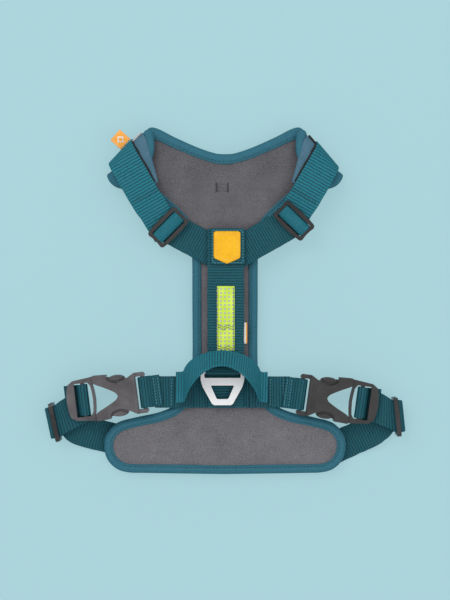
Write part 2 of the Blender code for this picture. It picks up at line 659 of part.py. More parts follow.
def build_buckle(name, side, finish):
    frame = buckle_frame(side)
    half = socket_half()
    outline = half + [(x, -y) for x, y in reversed(half[1:-1])]
    socket = as_mesh(plate(f"{name}_buckle_socket", [outline], SOCKET_HEIGHT, finish["plastic"], frame))
    bar = box_outline(SOCKET_BAR_X - SOCKET_BAR / 2, -14, SOCKET_BAR_X + SOCKET_BAR / 2, 14)
    cut(socket, cutter_plate(f"{name}_socket_bar", bar, SOCKET_BAR_HEIGHT, frame), "UNION")
    above = frame @ Matrix.Translation((0, 0, (HOOK_TOP + 2) * MM))
    cut(socket, cutter_plate(f"{name}_hook_top", box_outline(-7, -18, 2.6, 18), 4.0, above))
    for end, y in (("upper", side["sign"]), ("lower", -side["sign"])):
        slot = box_outline(8.4, y * SLOT_INNER, 45, y * 25)
        cut(socket, cutter_plate(f"{name}_{end}_slot", slot, SLOT_HEIGHT, frame))
        window = ellipse((17.2, y * 15.4), 7.9, 5.0)
        cut(socket, cutter_plate(f"{name}_{end}_window", window, SOCKET_HEIGHT + 4, frame))
        build_prong(f"{name}_{end}_prong", y, frame, finish)
    build_plug(name, frame, finish)
    strap_z = CROSS_Z - BUCKLE_Z
    loop = [(-17, strap_z + WEB_THICK + GAP), (-11, strap_z + WEB_THICK + GAP), (-6.5, 2.4)]
    loop += arc((SOCKET_BAR_X, 0), SOCKET_LOOP_BEND, 90, -90, 8) + [(-9.8, strap_z)]
    ribbon(f"{name}_socket_webbing", loop, WEB_WIDTH, WEB_THICK, finish["webbing"],
           frame @ Matrix.Rotation(math.pi / 2, 4, "X"))
    under = PLUG_STRAP_Z - BUCKLE_Z
    plug_loop = [(PLUG_LOOP_END, under), (50.4, under), (49.4, -1.6), (47.9, 1.2)]
    plug_loop += arc((PLUG_BAR_X, 0), PLUG_LOOP_BEND, 50, 250, 9)
    ribbon(f"{name}_plug_webbing", plug_loop, WEB_WIDTH, WEB_THICK, finish["webbing"],
           frame @ Matrix.Rotation(math.pi / 2, 4, "X"))


def build_prong(name, y, frame, finish):
    """A sprung arm with the release button at its tip. Its origin is where it bends."""
    x0, y0 = PRONG_ROOT
    arm = [(0, 1.1), (-9, 1.2), (-11.5, 2.4)]
    arm += [(17.2 - x0 + 7.0 * math.cos(a), 13.6 - y0 + 2.9 * math.sin(a)) for a in
            (math.radians(40 + 280 * i / 12) for i in range(13))]
    arm += [(-9, -1.2), (0, -1.1)]
    outline = [(x, y * v) for x, v in arm]
    plate(name, [outline], PRONG_HEIGHT, finish["plastic"],
          frame @ Matrix.Translation(Vector((x0, y * y0, 0)) * MM))


def build_plug(name, frame, finish):
    """The plug's frame: a curved cross rail, a strap bar inside the webbing, and the outer bar."""
    outer = [(35.2, 0), (35.6, 6), (36.4, 11.6), (36.8, 11.9), (36.8, 17.5)]
    outer += [(52.5, 15.8), (56.4, 13), (57.8, 8), (58.5, 0)]
    outline = outer + [(x, -y) for x, y in reversed(outer[1:-1])]
    inner = [(37.4, 0), (37.8, 6), (38.4, 10.4), (40.4, 13.4), (51.5, 13.4)]
    window = inner + [(x, -y) for x, y in reversed(inner[1:])]
    plug = as_mesh(plate(f"{name}_buckle_plug", [outline, window], PLUG_HEIGHT, finish["plastic"], frame))
    bar = box_outline(PLUG_BAR_X - PLUG_BAR / 2, -14.4, PLUG_BAR_X + PLUG_BAR / 2, 14.4)
    cut(plug, cutter_plate(f"{name}_plug_bar", bar, PLUG_BAR_HEIGHT, frame), "UNION")


def build_girth(name, side, finish):
    """The strap from the plug, out through the side adjuster, and back to the belly."""
    sign = side["sign"]
    inward = side["side_tilt"] if sign < 0 else math.pi - side["side_tilt"]
    x, y = sign * side["side_adjuster"][0], side["side_adjuster"][1]
    middle = (SIDE_UPPER_Z + SIDE_LOWER_Z) / 2
    bend = (SIDE_UPPER_Z - SIDE_LOWER_Z) / 2
    strap = [(SIDE_UPPER_REACH, bend)] + arc((SIDE_BEND_X, 0), bend, 90, 270, BEND_STEPS)
    strap += [(SIDE_LOWER_REACH, -bend)]
    ribbon(f"{name}_girth_strap_end", strap, WEB_WIDTH, WEB_THICK, finish["webbing"],
           along(x, y, middle, inward))
    stand = Matrix.Rotation(-math.pi / 2, 4, "Y")
    plate(f"{name}_side_adjuster", adjuster_outlines(SIDE_WINDOW), SIDE_ADJUSTER_THICK, finish["plastic"],
          at(x, y, middle + 0.2, inward) @ stand)
    heading = -side["girth_heading"] if sign < 0 else side["girth_heading"] - math.pi
    start_x, start_y = sign * side["girth_start"][0], side["girth_start"][1]
    low = WEB_THICK / 2
    lower = smooth([(0, 4.6), (8, 3.4), (16, 1.2), (22, low)], 3) + [(side["girth_reach"], low)]
    ribbon(f"{name}_girth_strap", lower, WEB_WIDTH, WEB_THICK, finish["webbing"],
           along(start_x, start_y, 0, heading))


def main():
    for obj in list(bpy.data.objects):
        bpy.data.objects.remove(obj)
    bpy.context.scene.collection.children.link(HARNESS)
    bpy.context.scene.collection.children.link(CUTTERS)
    finish = make_materials()
    build_panel(finish)
    for name, side in SIDES.items():
        build_shoulder(name, side, finish)
        build_wing_binding(name, side, finish)
        build_buckle(name, side, finish)
        build_girth(name, side, finish)
    build_back(finish)
    build_cross_strap(finish)
    build_handle(finish)
    build_leash_ring(finish)
    build_front_ring(finish)
    belly = box_outline(BELLY_X[0], BELLY_Y - WEB_WIDTH / 2, BELLY_X[1], BELLY_Y + WEB_WIDTH / 2)
    plate("belly_webbing", [belly], WEB_THICK, finish["webbing"], at(0, 0, WEB_THICK / 2))


main()
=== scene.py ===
"""Looks for the no pull harness: webbing, padded panel, stitching, plastic, camera and light."""

import math

import bpy
import numpy as np
from mathutils import Matrix, Vector
from mathutils.geometry import delaunay_2d_cdt


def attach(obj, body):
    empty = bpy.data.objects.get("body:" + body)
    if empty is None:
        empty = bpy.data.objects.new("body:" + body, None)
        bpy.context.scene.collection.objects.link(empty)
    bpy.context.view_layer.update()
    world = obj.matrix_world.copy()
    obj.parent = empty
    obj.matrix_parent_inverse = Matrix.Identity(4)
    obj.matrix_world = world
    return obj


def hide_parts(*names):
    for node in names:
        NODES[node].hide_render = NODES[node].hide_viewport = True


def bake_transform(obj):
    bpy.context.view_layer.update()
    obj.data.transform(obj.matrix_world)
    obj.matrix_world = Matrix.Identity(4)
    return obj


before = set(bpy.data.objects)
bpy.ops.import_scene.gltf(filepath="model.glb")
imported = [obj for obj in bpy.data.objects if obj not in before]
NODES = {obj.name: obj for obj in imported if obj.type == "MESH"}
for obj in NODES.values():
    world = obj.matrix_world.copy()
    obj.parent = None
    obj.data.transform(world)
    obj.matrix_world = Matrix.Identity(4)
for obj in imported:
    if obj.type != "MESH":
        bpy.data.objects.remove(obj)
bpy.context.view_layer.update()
MM = 0.001
ROOT = "harness"
SIGNS = {"left": -1, "right": 1}


# materials
class Nodes:
    """A material's node tree, built up one node at a time."""

    def __init__(self, name, roughness=0.8, metallic=0.0, specular=0.5):
        self.material = bpy.data.materials.new(name)
        self.material.use_nodes = True
        self.tree = self.material.node_tree
        self.shader = self.tree.nodes["Principled BSDF"]
        self.shader.inputs["Roughness"].default_value = roughness
        self.shader.inputs["Metallic"].default_value = metallic
        self.shader.inputs["Specular IOR Level"].default_value = specular

    def add(self, kind, values=None, links=None, **settings):
        node = self.tree.nodes.new(kind)
        for key, value in settings.items():
            setattr(node, key, value)
        for key, value in (values or {}).items():
            node.inputs[key].default_value = value
        for key, socket in (links or {}).items():
            self.tree.links.new(socket, node.inputs[key])
        return node

    def noise(self, scale, detail=3.0, stretch=(1, 1, 1), rough=0.55):
        """Noise in millimetres of the row frame."""
        where = self.add("ShaderNodeTexCoord").outputs["Object"]
        mapped = self.add("ShaderNodeMapping", {"Scale": [1000 * s for s in stretch]}, {"Vector": where})
        made = self.add("ShaderNodeTexNoise", {"Scale": scale, "Detail": detail, "Roughness": rough},
                        {"Vector": mapped.outputs["Vector"]})
        return made.outputs["Fac"]

    def ramp(self, factor, low, high, start=0.3, end=0.7):
        node = self.add("ShaderNodeValToRGB", links={"Fac": factor})
        node.color_ramp.elements[0].position = start
        node.color_ramp.elements[1].position = end
        node.color_ramp.elements[0].color = (*low, 1)
        node.color_ramp.elements[1].color = (*high, 1)
        return node.outputs["Color"]

    def math(self, operation, a, b):
        node = self.add("ShaderNodeMath", operation=operation)
        for socket, value in zip(node.inputs, (a, b)):
            if isinstance(value, (int, float)):
                socket.default_value = value
            else:
                self.tree.links.new(value, socket)
        return node.outputs["Value"]

    def mix(self, factor, a, b, blend="MIX"):
        node = self.add("ShaderNodeMix", data_type="RGBA", blend_type=blend)
        for socket, value in zip((node.inputs[0], node.inputs[6], node.inputs[7]), (factor, a, b)):
            if isinstance(value, tuple):
                socket.default_value = (*value, 1)
            elif isinstance(value, (int, float)):
                socket.default_value = value
            else:
                self.tree.links.new(value, socket)
        return node.outputs[2]

    def finish(self, color, bump=None, depth=0.1, strength=0.5):
        """Wires the colour, and a bump of that depth in millimetres."""
        self.tree.links.new(color, self.shader.inputs["Base Color"])
        if bump is not None:
            node = self.add("ShaderNodeBump", {"Distance": depth * MM, "Strength": strength},
                            {"Height": bump})
            self.tree.links.new(node.outputs["Normal"], self.shader.inputs["Normal"])
        return self.material


def webbing_material(name, ridge, groove, dust):
    """Woven webbing: painted shade darkens it between its ribs, with fine threads along the strap and faint
    fuzz.
    """
    made = Nodes(name, 0.72, specular=0.25)
    rib = made.add("ShaderNodeAttribute", attribute_name="rib").outputs["Fac"]
    across = made.add("ShaderNodeAttribute", attribute_name="along_across").outputs["Vector"]
    threads = made.add("ShaderNodeTexNoise", {"Scale": 1.0, "Detail": 2.0}, {"Vector": made.add(
        "ShaderNodeVectorMath", operation="MULTIPLY", values={1: (0.35, 2.6, 0)},
        links={0: across}).outputs["Vector"]}).outputs["Fac"]
    # painted shade: the groove colour, far darker than the ridge colour, fills the hollows between the ribs
    base = made.ramp(rib, groove, ridge, 0.12, 0.92)
    shade = made.ramp(threads, (0.62, 0.62, 0.62), (1.25, 1.25, 1.25), 0.3, 0.72)
    color = made.mix(1.0, base, shade, "MULTIPLY")
    patches = made.noise(0.06, 4.0)
    color = made.mix(made.math("MULTIPLY", made.ramp(patches, (0, 0, 0), (1, 1, 1), 0.45, 0.8), 0.35),
                     color, dust)
    return made.finish(color, threads, 0.12, 0.7)


def cloth_material(name, light, dark, grain=1.2, depth=0.12, patches=0.05, sheen=0.05):
    """Closely woven cloth with a mottled tone."""
    made = Nodes(name, 0.85, specular=0.25)
    fine = made.noise(grain, 3.0, rough=0.7)
    broad = made.noise(patches, 4.0, rough=0.6)
    color = made.ramp(made.math("ADD", made.math("MULTIPLY", fine, 0.55),
                                made.math("MULTIPLY", broad, 0.45)),
                      dark, light, 0.36, 0.64)
    made.shader.inputs["Sheen Weight"].default_value = sheen
    return made.finish(color, fine, depth, 0.8)


def binding_material():
    """Edge binding: fine uneven teal cloth."""
    made = Nodes("edge_binding", 0.7, specular=0.2)
    fine = made.noise(1.5, 3.0, rough=0.7)
    broad = made.noise(0.08, 3.0)
    base = made.ramp(fine, (0.014, 0.086, 0.128), (0.04, 0.188, 0.262), 0.32, 0.68)
    color = made.mix(made.math("MULTIPLY", broad, 0.4), base, (0.03, 0.12, 0.165))
    return made.finish(color, fine, 0.12, 0.7)


def lining_material():
    """Brushed mesh lining: mottled grey with a fine even grain, and painted shade that darkens it towards
    the neck.
    """
    made = Nodes("grey_mesh_lining", 0.9, specular=0.15)
    fine = made.noise(1.5, 2.0, rough=0.6)
    broad = made.noise(0.05, 5.0, rough=0.65)
    tone = made.math("ADD", made.math("MULTIPLY", fine, 0.74), made.math("MULTIPLY", broad, 0.26))
    color = made.ramp(tone, (0.08, 0.079, 0.088), (0.188, 0.184, 0.2), 0.34, 0.66)
    where = made.add("ShaderNodeSeparateXYZ", links={0: made.add("ShaderNodeTexCoord").outputs["Object"]})
    # painted shade: a ramp on Y multiplies the lining darker towards the neck
    height = made.math("MULTIPLY", where.outputs["Y"], 5.0)
    shade = made.ramp(height, (1.08, 1.08, 1.08), (0.66, 0.68, 0.7), 0.1, 0.75)
    return made.finish(made.mix(1.0, color, shade, "MULTIPLY"), fine, 0.2, 0.8)


def plastic_material(name, low, high, roughness):
    made = Nodes(name, roughness)
    grain = made.noise(1.6, 4.0, rough=0.7)
    dust = made.noise(0.07, 5.0)
    color = made.mix(made.math("MULTIPLY", grain, 0.5), made.ramp(dust, low, high, 0.35, 0.75), high)
    wear = made.math("ADD", made.math("MULTIPLY", dust, 0.25), roughness - 0.12)
    made.tree.links.new(wear, made.shader.inputs["Roughness"])
    return made.finish(color, grain, 0.03, 0.5)


def metal_material():
    made = Nodes("ring_alloy", 0.3, 0.05)
    scratches = made.noise(0.5, 4.0, (1, 6, 1), 0.6)
    color = made.ramp(scratches, (0.8, 0.81, 0.83), (0.93, 0.94, 0.96), 0.3, 0.7)
    rough = made.math("ADD", made.math("MULTIPLY", scratches, 0.2), 0.22)
    made.tree.links.new(rough, made.shader.inputs["Roughness"])
    return made.finish(color, scratches, 0.02, 0.4)


def tape_material():
    """Neon tape: a net of small grey dots over yellow-green, by position on the strap."""
    made = Nodes("neon_tape", 0.45)
    where = made.add("ShaderNodeTexCoord").outputs["Object"]
    scaled = made.add("ShaderNodeMapping", {"Scale": (312.0, 312.0, 0.0)}, {"Vector": where})
    cells = made.add("ShaderNodeTexVoronoi", {"Scale": 1.0, "Randomness": 0.0},
                     {"Vector": scaled.outputs["Vector"]})
    dots = made.ramp(cells.outputs["Distance"], (1, 1, 1), (0, 0, 0), 0.26, 0.33)
    broad = made.noise(0.12, 3.0)
    ground = made.ramp(broad, (0.46, 0.66, 0.02), (0.72, 0.92, 0.1), 0.3, 0.7)
    return made.finish(made.mix(dots, ground, (0.42, 0.46, 0.36)), made.noise(1.2, 3.0), 0.05, 0.5)


MAT = {
    # the second colour of each webbing is the painted shade between its ribs
    "webbing": webbing_material("teal_webbing", (0.006, 0.098, 0.132), (0.001, 0.016, 0.024),
                                (0.016, 0.09, 0.11)),
    "strap": webbing_material("shoulder_webbing", (0.012, 0.185, 0.245), (0.001, 0.022, 0.036),
                              (0.024, 0.15, 0.19)),
    "binding": binding_material(),
    "shell": cloth_material("shell_cloth", (0.075, 0.2, 0.245), (0.028, 0.105, 0.14)),
    "wing": cloth_material("wing_cloth", (0.085, 0.18, 0.255), (0.04, 0.115, 0.17)),
    "lining": lining_material(),
    "socket_left": plastic_material("grey_black_plastic", (0.026, 0.024, 0.028), (0.118, 0.11, 0.122), 0.42),
    "socket_right": plastic_material("black_plastic", (0.006, 0.005, 0.006), (0.027, 0.025, 0.028), 0.4),
    "adjuster": plastic_material("adjuster_plastic", (0.004, 0.004, 0.005), (0.02, 0.019, 0.022), 0.34),
    "ring": metal_material(),
    "neon": tape_material(),
    "patch": cloth_material("yellow_rubber", (0.93, 0.52, 0.022), (0.8, 0.4, 0.012), 0.8, 0.08, 0.1, 0.0),
    "tag": cloth_material("orange_tag", (0.93, 0.43, 0.07), (0.8, 0.32, 0.035), 1.6, 0.1, 0.15, 0.0),
    "tag_mark": cloth_material("tag_mark", (0.9, 0.84, 0.76), (0.78, 0.7, 0.6), 2.0, 0.05, 0.2, 0.0),
    "label": cloth_material("white_label", (0.85, 0.82, 0.78), (0.7, 0.66, 0.62), 1.5, 0.05, 0.2, 0.0),
    "trim": cloth_material("black_trim", (0.03, 0.03, 0.034), (0.01, 0.01, 0.012), 1.4, 0.1, 0.1),
    # painted highlight: a light grey for the left fold piping, whose twin on the right keeps the black trim
    # colour
    "painted_highlight": cloth_material("painted_highlight_trim", (0.56, 0.58, 0.6), (0.38, 0.4, 0.42), 1.4, 0.06, 0.1, 0.0),
    "thread": cloth_material("teal_thread", (0.1, 0.33, 0.4), (0.05, 0.2, 0.26), 2.2, 0.05, 0.2),
    "grey_thread": cloth_material("grey_thread", (0.16, 0.16, 0.165), (0.09, 0.09, 0.095), 2.2, 0.05),
    "tack_thread": cloth_material("tack_thread", (0.075, 0.078, 0.084), (0.035, 0.036, 0.04), 2.2, 0.05),
    "dark_thread": cloth_material("dark_thread", (0.03, 0.1, 0.13), (0.012, 0.05, 0.07), 2.2, 0.05, 0.2),
    "yellow_thread": cloth_material("yellow_thread", (0.95, 0.64, 0.16), (0.76, 0.44, 0.08), 2.2, 0.05, 0.2),
    "foam": cloth_material("foam", (0.7, 0.7, 0.68), (0.6, 0.6, 0.58)),
}


# shapes
def mesh_object(name, verts, faces, material, body, attributes=None, smooth=True):
    """A mesh in metres that rides on a body. Its attributes are one number, or three, for each vertex."""
    mesh = bpy.data.meshes.new(name)
    mesh.from_pydata([tuple(map(float, v)) for v in verts], [], [tuple(map(int, f)) for f in faces])
    for key, values in (attributes or {}).items():
        values = np.asarray(values, dtype=np.float32)
        kind = "FLOAT" if values.ndim == 1 else "FLOAT_VECTOR"
        layer = mesh.attributes.new(key, kind, "POINT")
        layer.data.foreach_set("value" if kind == "FLOAT" else "vector", values.ravel())
    if smooth:
        mesh.shade_smooth()
    mesh.materials.append(MAT[material])
    made = bpy.data.objects.new(name, mesh)
    bpy.context.scene.collection.objects.link(made)
    if body:
        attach(made, body)
    return made


def stands_for(node):
    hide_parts(node)


def travelled(points):
    """The length along an array of points, up to each of them."""
    return np.r_[0, np.cumsum(np.linalg.norm(np.diff(points, axis=0), axis=1))]


def skin_faces(loop, count):
    """Faces of a closed skin with that many rows round it, each of count points, and its two end caps."""
    faces = [(k * count + i, k * count + i + 1, (k + 1) % loop * count + i + 1, (k + 1) % loop * count + i)
             for k in range(loop) for i in range(count - 1)]
    faces.append(tuple(k * count for k in range(loop)))
    faces.append(tuple(k * count + count - 1 for k in range(loop))[::-1])
    return faces


def arc(center, radius, start, end, steps):
    angles = np.radians(np.linspace(start, end, steps + 1))
    return [(center[0] + radius * math.cos(a), center[1] + radius * math.sin(a)) for a in angles]


def smooth(points, steps):
    """Points along a Catmull-Rom curve through an open run of points."""
    points = [np.array(p, dtype=float) for p in points]
    ends = [points[0], *points, points[-1]]
    made = []
    for p, q, r, s in zip(ends, ends[1:], ends[2:], ends[3:]):
        for t in np.arange(steps) / steps:
            made.append(q + (r - p) * t / 2 + (p - 2.5 * q + 2 * r - s / 2) * t**2
                        + (1.5 * q - p / 2 - 1.5 * r + s / 2) * t**3)
    return [tuple(p) for p in made] + [tuple(points[-1])]


def at(x, y, z, turn=0.0):
    return Matrix.Translation((x, y, z)) @ Matrix.Rotation(turn, 4, "Z")


def along(x, y, z, heading):
    """A place whose own X runs along a heading on the ground, and whose own Y is up."""
    return at(x, y, z, heading) @ Matrix.Rotation(math.pi / 2, 4, "X")


def resample(points, step):
    """Points evenly spaced along a polyline, as an array."""
    points = np.array(points, dtype=float)
    lengths = travelled(points)
    count = max(int(round(lengths[-1] / step)), 1)
    where = np.linspace(0, lengths[-1], count + 1)
    return np.stack([np.interp(where, lengths, points[:, i]) for i in range(points.shape[1])], axis=1)


def soften(points, rounds):
    """Averages an array of points with their neighbours, ends kept."""
    for _ in range(rounds):
        points[1:-1] = (points[:-2] + 2 * points[1:-1] + points[2:]) / 4
    return points


def unit(v):
    return v / np.maximum(np.linalg.norm(v, axis=-1, keepdims=True), 1e-9)


def strip(name, centers, sides, width, thick, material, body, pitch=2.4, depth=0.3, bulge=0.0, seed=0,
          wave=0.25,
          warp=None):
    """Webbing along centres, with a unit vector across it at each. Its ribs run from edge to edge."""
    ways = unit(np.gradient(centers, axis=0))
    ups = unit(np.cross(ways, sides))
    lengths = travelled(centers)
    rng = np.random.default_rng(seed)
    knots = np.arange(0, lengths[-1] + 8, 4.0)
    jitter = np.interp(lengths, knots, rng.normal(0, wave, len(knots)))
    edge = np.array([0.0, 0.12, 0.5, 1.2])
    inner = np.linspace(1.2, width - 1.2, max(int(width / 2.2), 3))[1:-1]
    across = np.r_[edge, inner, width - edge[::-1]] - width / 2
    rise = np.r_[0.0, 0.28, 0.45, 0.5, np.full(len(inner), 0.5), 0.5, 0.45, 0.28, 0.0]
    crown = bulge * (1 - (2 * across / width) ** 2)
    lean = rng.normal(0, 0.012)
    verts, ribs, places = [], [], []
    for way in (1, -1):
        keep = slice(None) if way > 0 else slice(1, -1)
        for a, r, c in zip(across[keep], rise[keep], crown[keep]):
            phase = (lengths + lean * a) / pitch + 0.06 * np.sin(a * 0.9 + lengths * 0.05)
            rib = np.abs(np.sin(math.pi * phase)) ** 0.7
            side = a + (jitter if abs(a) > width / 2 - 1 else jitter * abs(2 * a / width)) * np.sign(a) * 0.5
            height = way * (r * (thick - depth) + c + depth * 0.5 * rib * (r / 0.5))
            verts.append(centers + sides * np.asarray(side).reshape(-1, 1) + ups * height.reshape(-1, 1))
            ribs.append(rib)
            places.append(np.stack([lengths, np.full_like(lengths, a), np.zeros_like(lengths)], axis=1))
    rows = len(across)
    order = list(range(rows)) + [rows + i for i in range(rows - 3, -1, -1)]
    loop = len(order)
    count = len(centers)
    verts = np.concatenate([verts[i] for i in order])
    if warp:
        verts = warp(verts)
    faces = skin_faces(loop, count)
    attributes = {"rib": np.concatenate([ribs[i] for i in order]),
                  "along_across": np.concatenate([places[i] for i in order])}
    return mesh_object(name, verts * MM, faces, material, body, attributes)


def ribbon(name, path, width, thick, material, place, body, node=None, pitch=2.2, depth=0.35, rounds=4,
           **more):
    """A strip whose path lies in a place's own XY plane."""
    flat = soften(resample(path, pitch / 6), rounds)
    turn = np.array(place)
    centers = np.c_[flat, np.zeros(len(flat)), np.ones(len(flat))] @ turn.T
    sides = np.tile(turn[:3, 2], (len(flat), 1))
    made = strip(name, centers[:, :3], sides, width, thick, material, body, pitch, depth, **more)
    if node:
        stands_for(node)
    return made


def stitches(name, runs, material, body=ROOT, pitch=2.6, length=1.7, radius=0.28):
    """Thread lying on a surface as short raised stitches, along runs of points in millimetres."""
    ring, caps = 6, ((-0.5, 0.0), (-0.42, 0.75), (-0.2, 1.0), (0.2, 1.0), (0.42, 0.75), (0.5, 0.0))
    verts, faces = [], []
    for run in runs:
        points = resample(run, pitch)
        middles = (points[1:] + points[:-1]) / 2
        for middle, way in zip(middles, unit(points[1:] - points[:-1])):
            side = unit(np.cross([0, 0, 1.0], way))
            up = np.cross(way, side)
            base = len(verts)
            for reach, size in caps:
                for k in range(ring):
                    a = math.tau * k / ring
                    spot = middle + way * reach * length
                    verts.append(spot + (side * math.cos(a) * 1.1 + up * math.sin(a)) * radius * max(size,
                                                                                                     0.05))
            for j in range(len(caps) - 1):
                for k in range(ring):
                    n = base + j * ring
                    faces.append((n + k, n + (k + 1) % ring, n + ring + (k + 1) % ring, n + ring + k))
    made = mesh_object(name, np.array(verts) * MM, faces, material, body)
    return made


# the panel
PANEL_HALF = [
    (0, 117.6), (8, 118.3), (22, 123), (40, 131), (54, 138), (61, 138.4), (65, 132), (64.3, 124),
    (66.7, 117.9), (91.4, 103.5), (94, 98.5), (88, 91.5), (74, 87.5), (58.5, 81.5), (46, 72), (35, 60.5),
    (28.2, 48), (26.4, 36),
    (26.2, 0), (26.3, -52),
    (29.5, -68), (38.5, -82), (52, -89), (70, -93), (86, -97.5), (94.5, -106), (97, -115), (95, -126),
    (88, -134), (78, -137.5), (60, -138.1), (0, -139.0),
]
LIP_HALF = [
    (0, 109.2), (8, 109.8), (22, 114.2), (41, 122), (55.5, 128.4), (58.8, 126), (60.2, 115.4), (82, 102.2),
    (82.5, 99.6), (70, 94.6), (53.5, 88), (40.5, 77.6), (28.2, 64.6), (20.9, 50.5), (18.9, 38), (18.8, 0),
    (18.9, -52.8), (22.3, -71),
    (33.5, -87.8), (49.5, -96.2), (68, -100.3), (82, -104.3), (87.8, -109.5), (89.4, -115.5), (87.8, -122.8),
    (82.8, -128.2), (76, -130.2), (60, -130.6), (0, -131.3),
]
LIP_BOTTOM, SHELL_BOTTOM, LINING_TOP, LIP_TOP = 1.8, 3.0, 9.0, 10.2


def lift(y):
    """How far the panel has risen at this Y, in millimetres."""
    t = np.clip((y + 50.0) / 90.0, 0, 1)
    return 2.8 * t * t * (3 - 2 * t)


def outline_of(half, step=1.3):
    run = smooth(half, 6)
    closed = run + [(-x, y) for x, y in reversed(run[1:-1])]
    return resample(closed + closed[:1], step)[:-1]


def distance(points, outline):
    """From each point to the nearest place on a closed outline."""
    a, b = outline, np.roll(outline, -1, axis=0)
    best = np.full(len(points), 1e9)
    for start in range(0, len(points), 2000):
        p = points[start:start + 2000, None]
        t = np.clip(((p - a) * (b - a)).sum(2) / ((b - a) ** 2).sum(1), 0, 1)
        best[start:start + 2000] = np.linalg.norm(p - a - t[..., None] * (b - a), axis=2).min(1)
    return best


def inside(points, outline):
    a, b = outline, np.roll(outline, -1, axis=0)
    x, y = points[:, 0, None], points[:, 1, None]
    crosses = (a[:, 1] > y) != (b[:, 1] > y)
    rise = np.where(b[:, 1] == a[:, 1], 1e-9, b[:, 1] - a[:, 1])
    return (crosses & (x < (b[:, 0] - a[:, 0]) * (y - a[:, 1]) / rise + a[:, 0])).sum(1) % 2 == 1


def wrinkles(points, seed, count=60, reach=(6, 26)):
    """Soft uneven dents: a sum of random waves, about one unit high."""
    rng = np.random.default_rng(seed)
    total = np.zeros(len(points))
    for _ in range(count):
        way = rng.uniform(0, math.tau)
        size = rng.uniform(*reach)
        total += np.sin((points[:, 0] * math.cos(way) + points[:, 1] * math.sin(way)) * math.tau / size
                        + rng.uniform(0, math.tau)) * (size / reach[1])
    return total / math.sqrt(count)


def field(name, loops, step, top, bottom, material, place=None):
    """A closed cloth form between two height functions, inside the first loop and outside the others."""
    low, high = loops[0].min(0), loops[0].max(0)
    xs, ys = np.arange(low[0], high[0], step), np.arange(low[1], high[1], step * 0.87)
    grid = np.array([(x + (j % 2) * step / 2, y) for j, y in enumerate(ys) for x in xs])
    keep = inside(grid, loops[0]) & (distance(grid, loops[0]) > step * 0.5)
    for loop in loops[1:]:
        keep &= ~inside(grid, loop) & (distance(grid, loop) > step * 0.5)
    points, edges = [], []
    for loop in loops:
        base = sum(len(p) for p in points)
        points.append(loop)
        edges += [(base + i, base + (i + 1) % len(loop)) for i in range(len(loop))]
    flat = np.concatenate([*points, grid[keep]])
    made, _, faces, *_ = delaunay_2d_cdt([Vector(p) for p in flat], edges, [], 0, 1e-6)
    flat = np.array([tuple(p) for p in made])
    middles = np.array([flat[list(f)].mean(0) for f in faces])
    good = inside(middles, loops[0])
    for loop in loops[1:]:
        good &= ~inside(middles, loop)
    faces = [f for f, g in zip(faces, good) if g]
    count = len(flat)
    verts = np.r_[np.c_[flat, top(flat)], np.c_[flat, bottom(flat)]]
    walls = [(b, a, a + count, b + count) for a, b in edges]
    shell = [tuple(f) for f in faces] + [tuple(i + count for i in reversed(f)) for f in faces] + walls
    if place:
        verts = np.array([tuple(place @ Vector(v)) for v in verts])
    return mesh_object(name, verts * MM, shell, material, ROOT)


EDGE = outline_of(PANEL_HALF)
LIP = outline_of(LIP_HALF)


def inward_normals(outline):
    ways = unit(np.roll(outline, -1, axis=0) - np.roll(outline, 1, axis=0))
    normals = np.stack([-ways[:, 1], ways[:, 0]], axis=1)
    return normals if inside(outline[:1] + normals[:1], outline)[0] else -normals


def inset(outline, reach):
    """A closed outline moved inwards, without the loops that makes at tight corners."""
    moved = outline + inward_normals(outline) * reach
    keep = (distance(moved, outline) > reach * 0.93) & inside(moved, outline)
    kept = moved[keep]
    return resample(np.r_[kept, kept[:1]], 1.8)[:-1]


SKIN = inset(EDGE, 3.4)


def rounded(distance_in, reach):
    t = np.clip(distance_in / reach, 0, 1)
    return np.sqrt(np.maximum(1 - (1 - t) ** 2, 0))


def build_panel():
    middle = (LIP_BOTTOM + LIP_TOP) / 2
    half = (LIP_TOP - LIP_BOTTOM) / 2

    def binding_top(p):
        roll = rounded(distance(p, EDGE), 4.2)
        inner = distance(p, LIP)
        turn = 0.55 + 0.45 * rounded(inner, 1.1) - 0.17 * np.exp(-((inner - 2.1) / 0.6) ** 2)
        return middle + half * roll * turn + 0.14 * wrinkles(p, 3, 40, (3, 14)) * roll + lift(p[:, 1])

    def binding_bottom(p):
        return middle - half * rounded(distance(p, EDGE), 3.0) + lift(p[:, 1])

    binding = field("panel_edge_binding", [EDGE, LIP], 0.95, binding_top, binding_bottom, "binding")
    stands_for("pad_binding")

    def lining_top(p):
        d = distance(p, LIP) * inside(p, LIP)
        puff = 1.15 * (1 - np.exp(-d / 4.5))
        folds = 0.26 * wrinkles(p, 11, 70, (7, 34)) + 0.07 * wrinkles(p, 12, 60, (2.5, 6))
        return LINING_TOP - 0.35 + puff + folds * np.clip(d / 3, 0, 1) + lift(p[:, 1])

    def lining_bottom(p):
        return np.full(len(p), SHELL_BOTTOM + 2.0) + lift(p[:, 1])

    lining = field("padded_lining", [SKIN], 1.5, lining_top, lining_bottom, "lining")
    stands_for("pad_lining")

    def shell_top(p):
        return np.full(len(p), SHELL_BOTTOM + 1.6) + lift(p[:, 1])

    def shell_bottom(p):
        d = distance(p, LIP) * inside(p, LIP)
        return SHELL_BOTTOM + 0.25 * (1 - np.exp(-d / 5)) + 0.16 * wrinkles(p, 21, 60,
                                                                            (6, 30)) + lift(p[:, 1])

    shell = field("outer_shell_cloth", [SKIN], 2.0, shell_top, shell_bottom, "shell")
    stands_for("pad_shell")


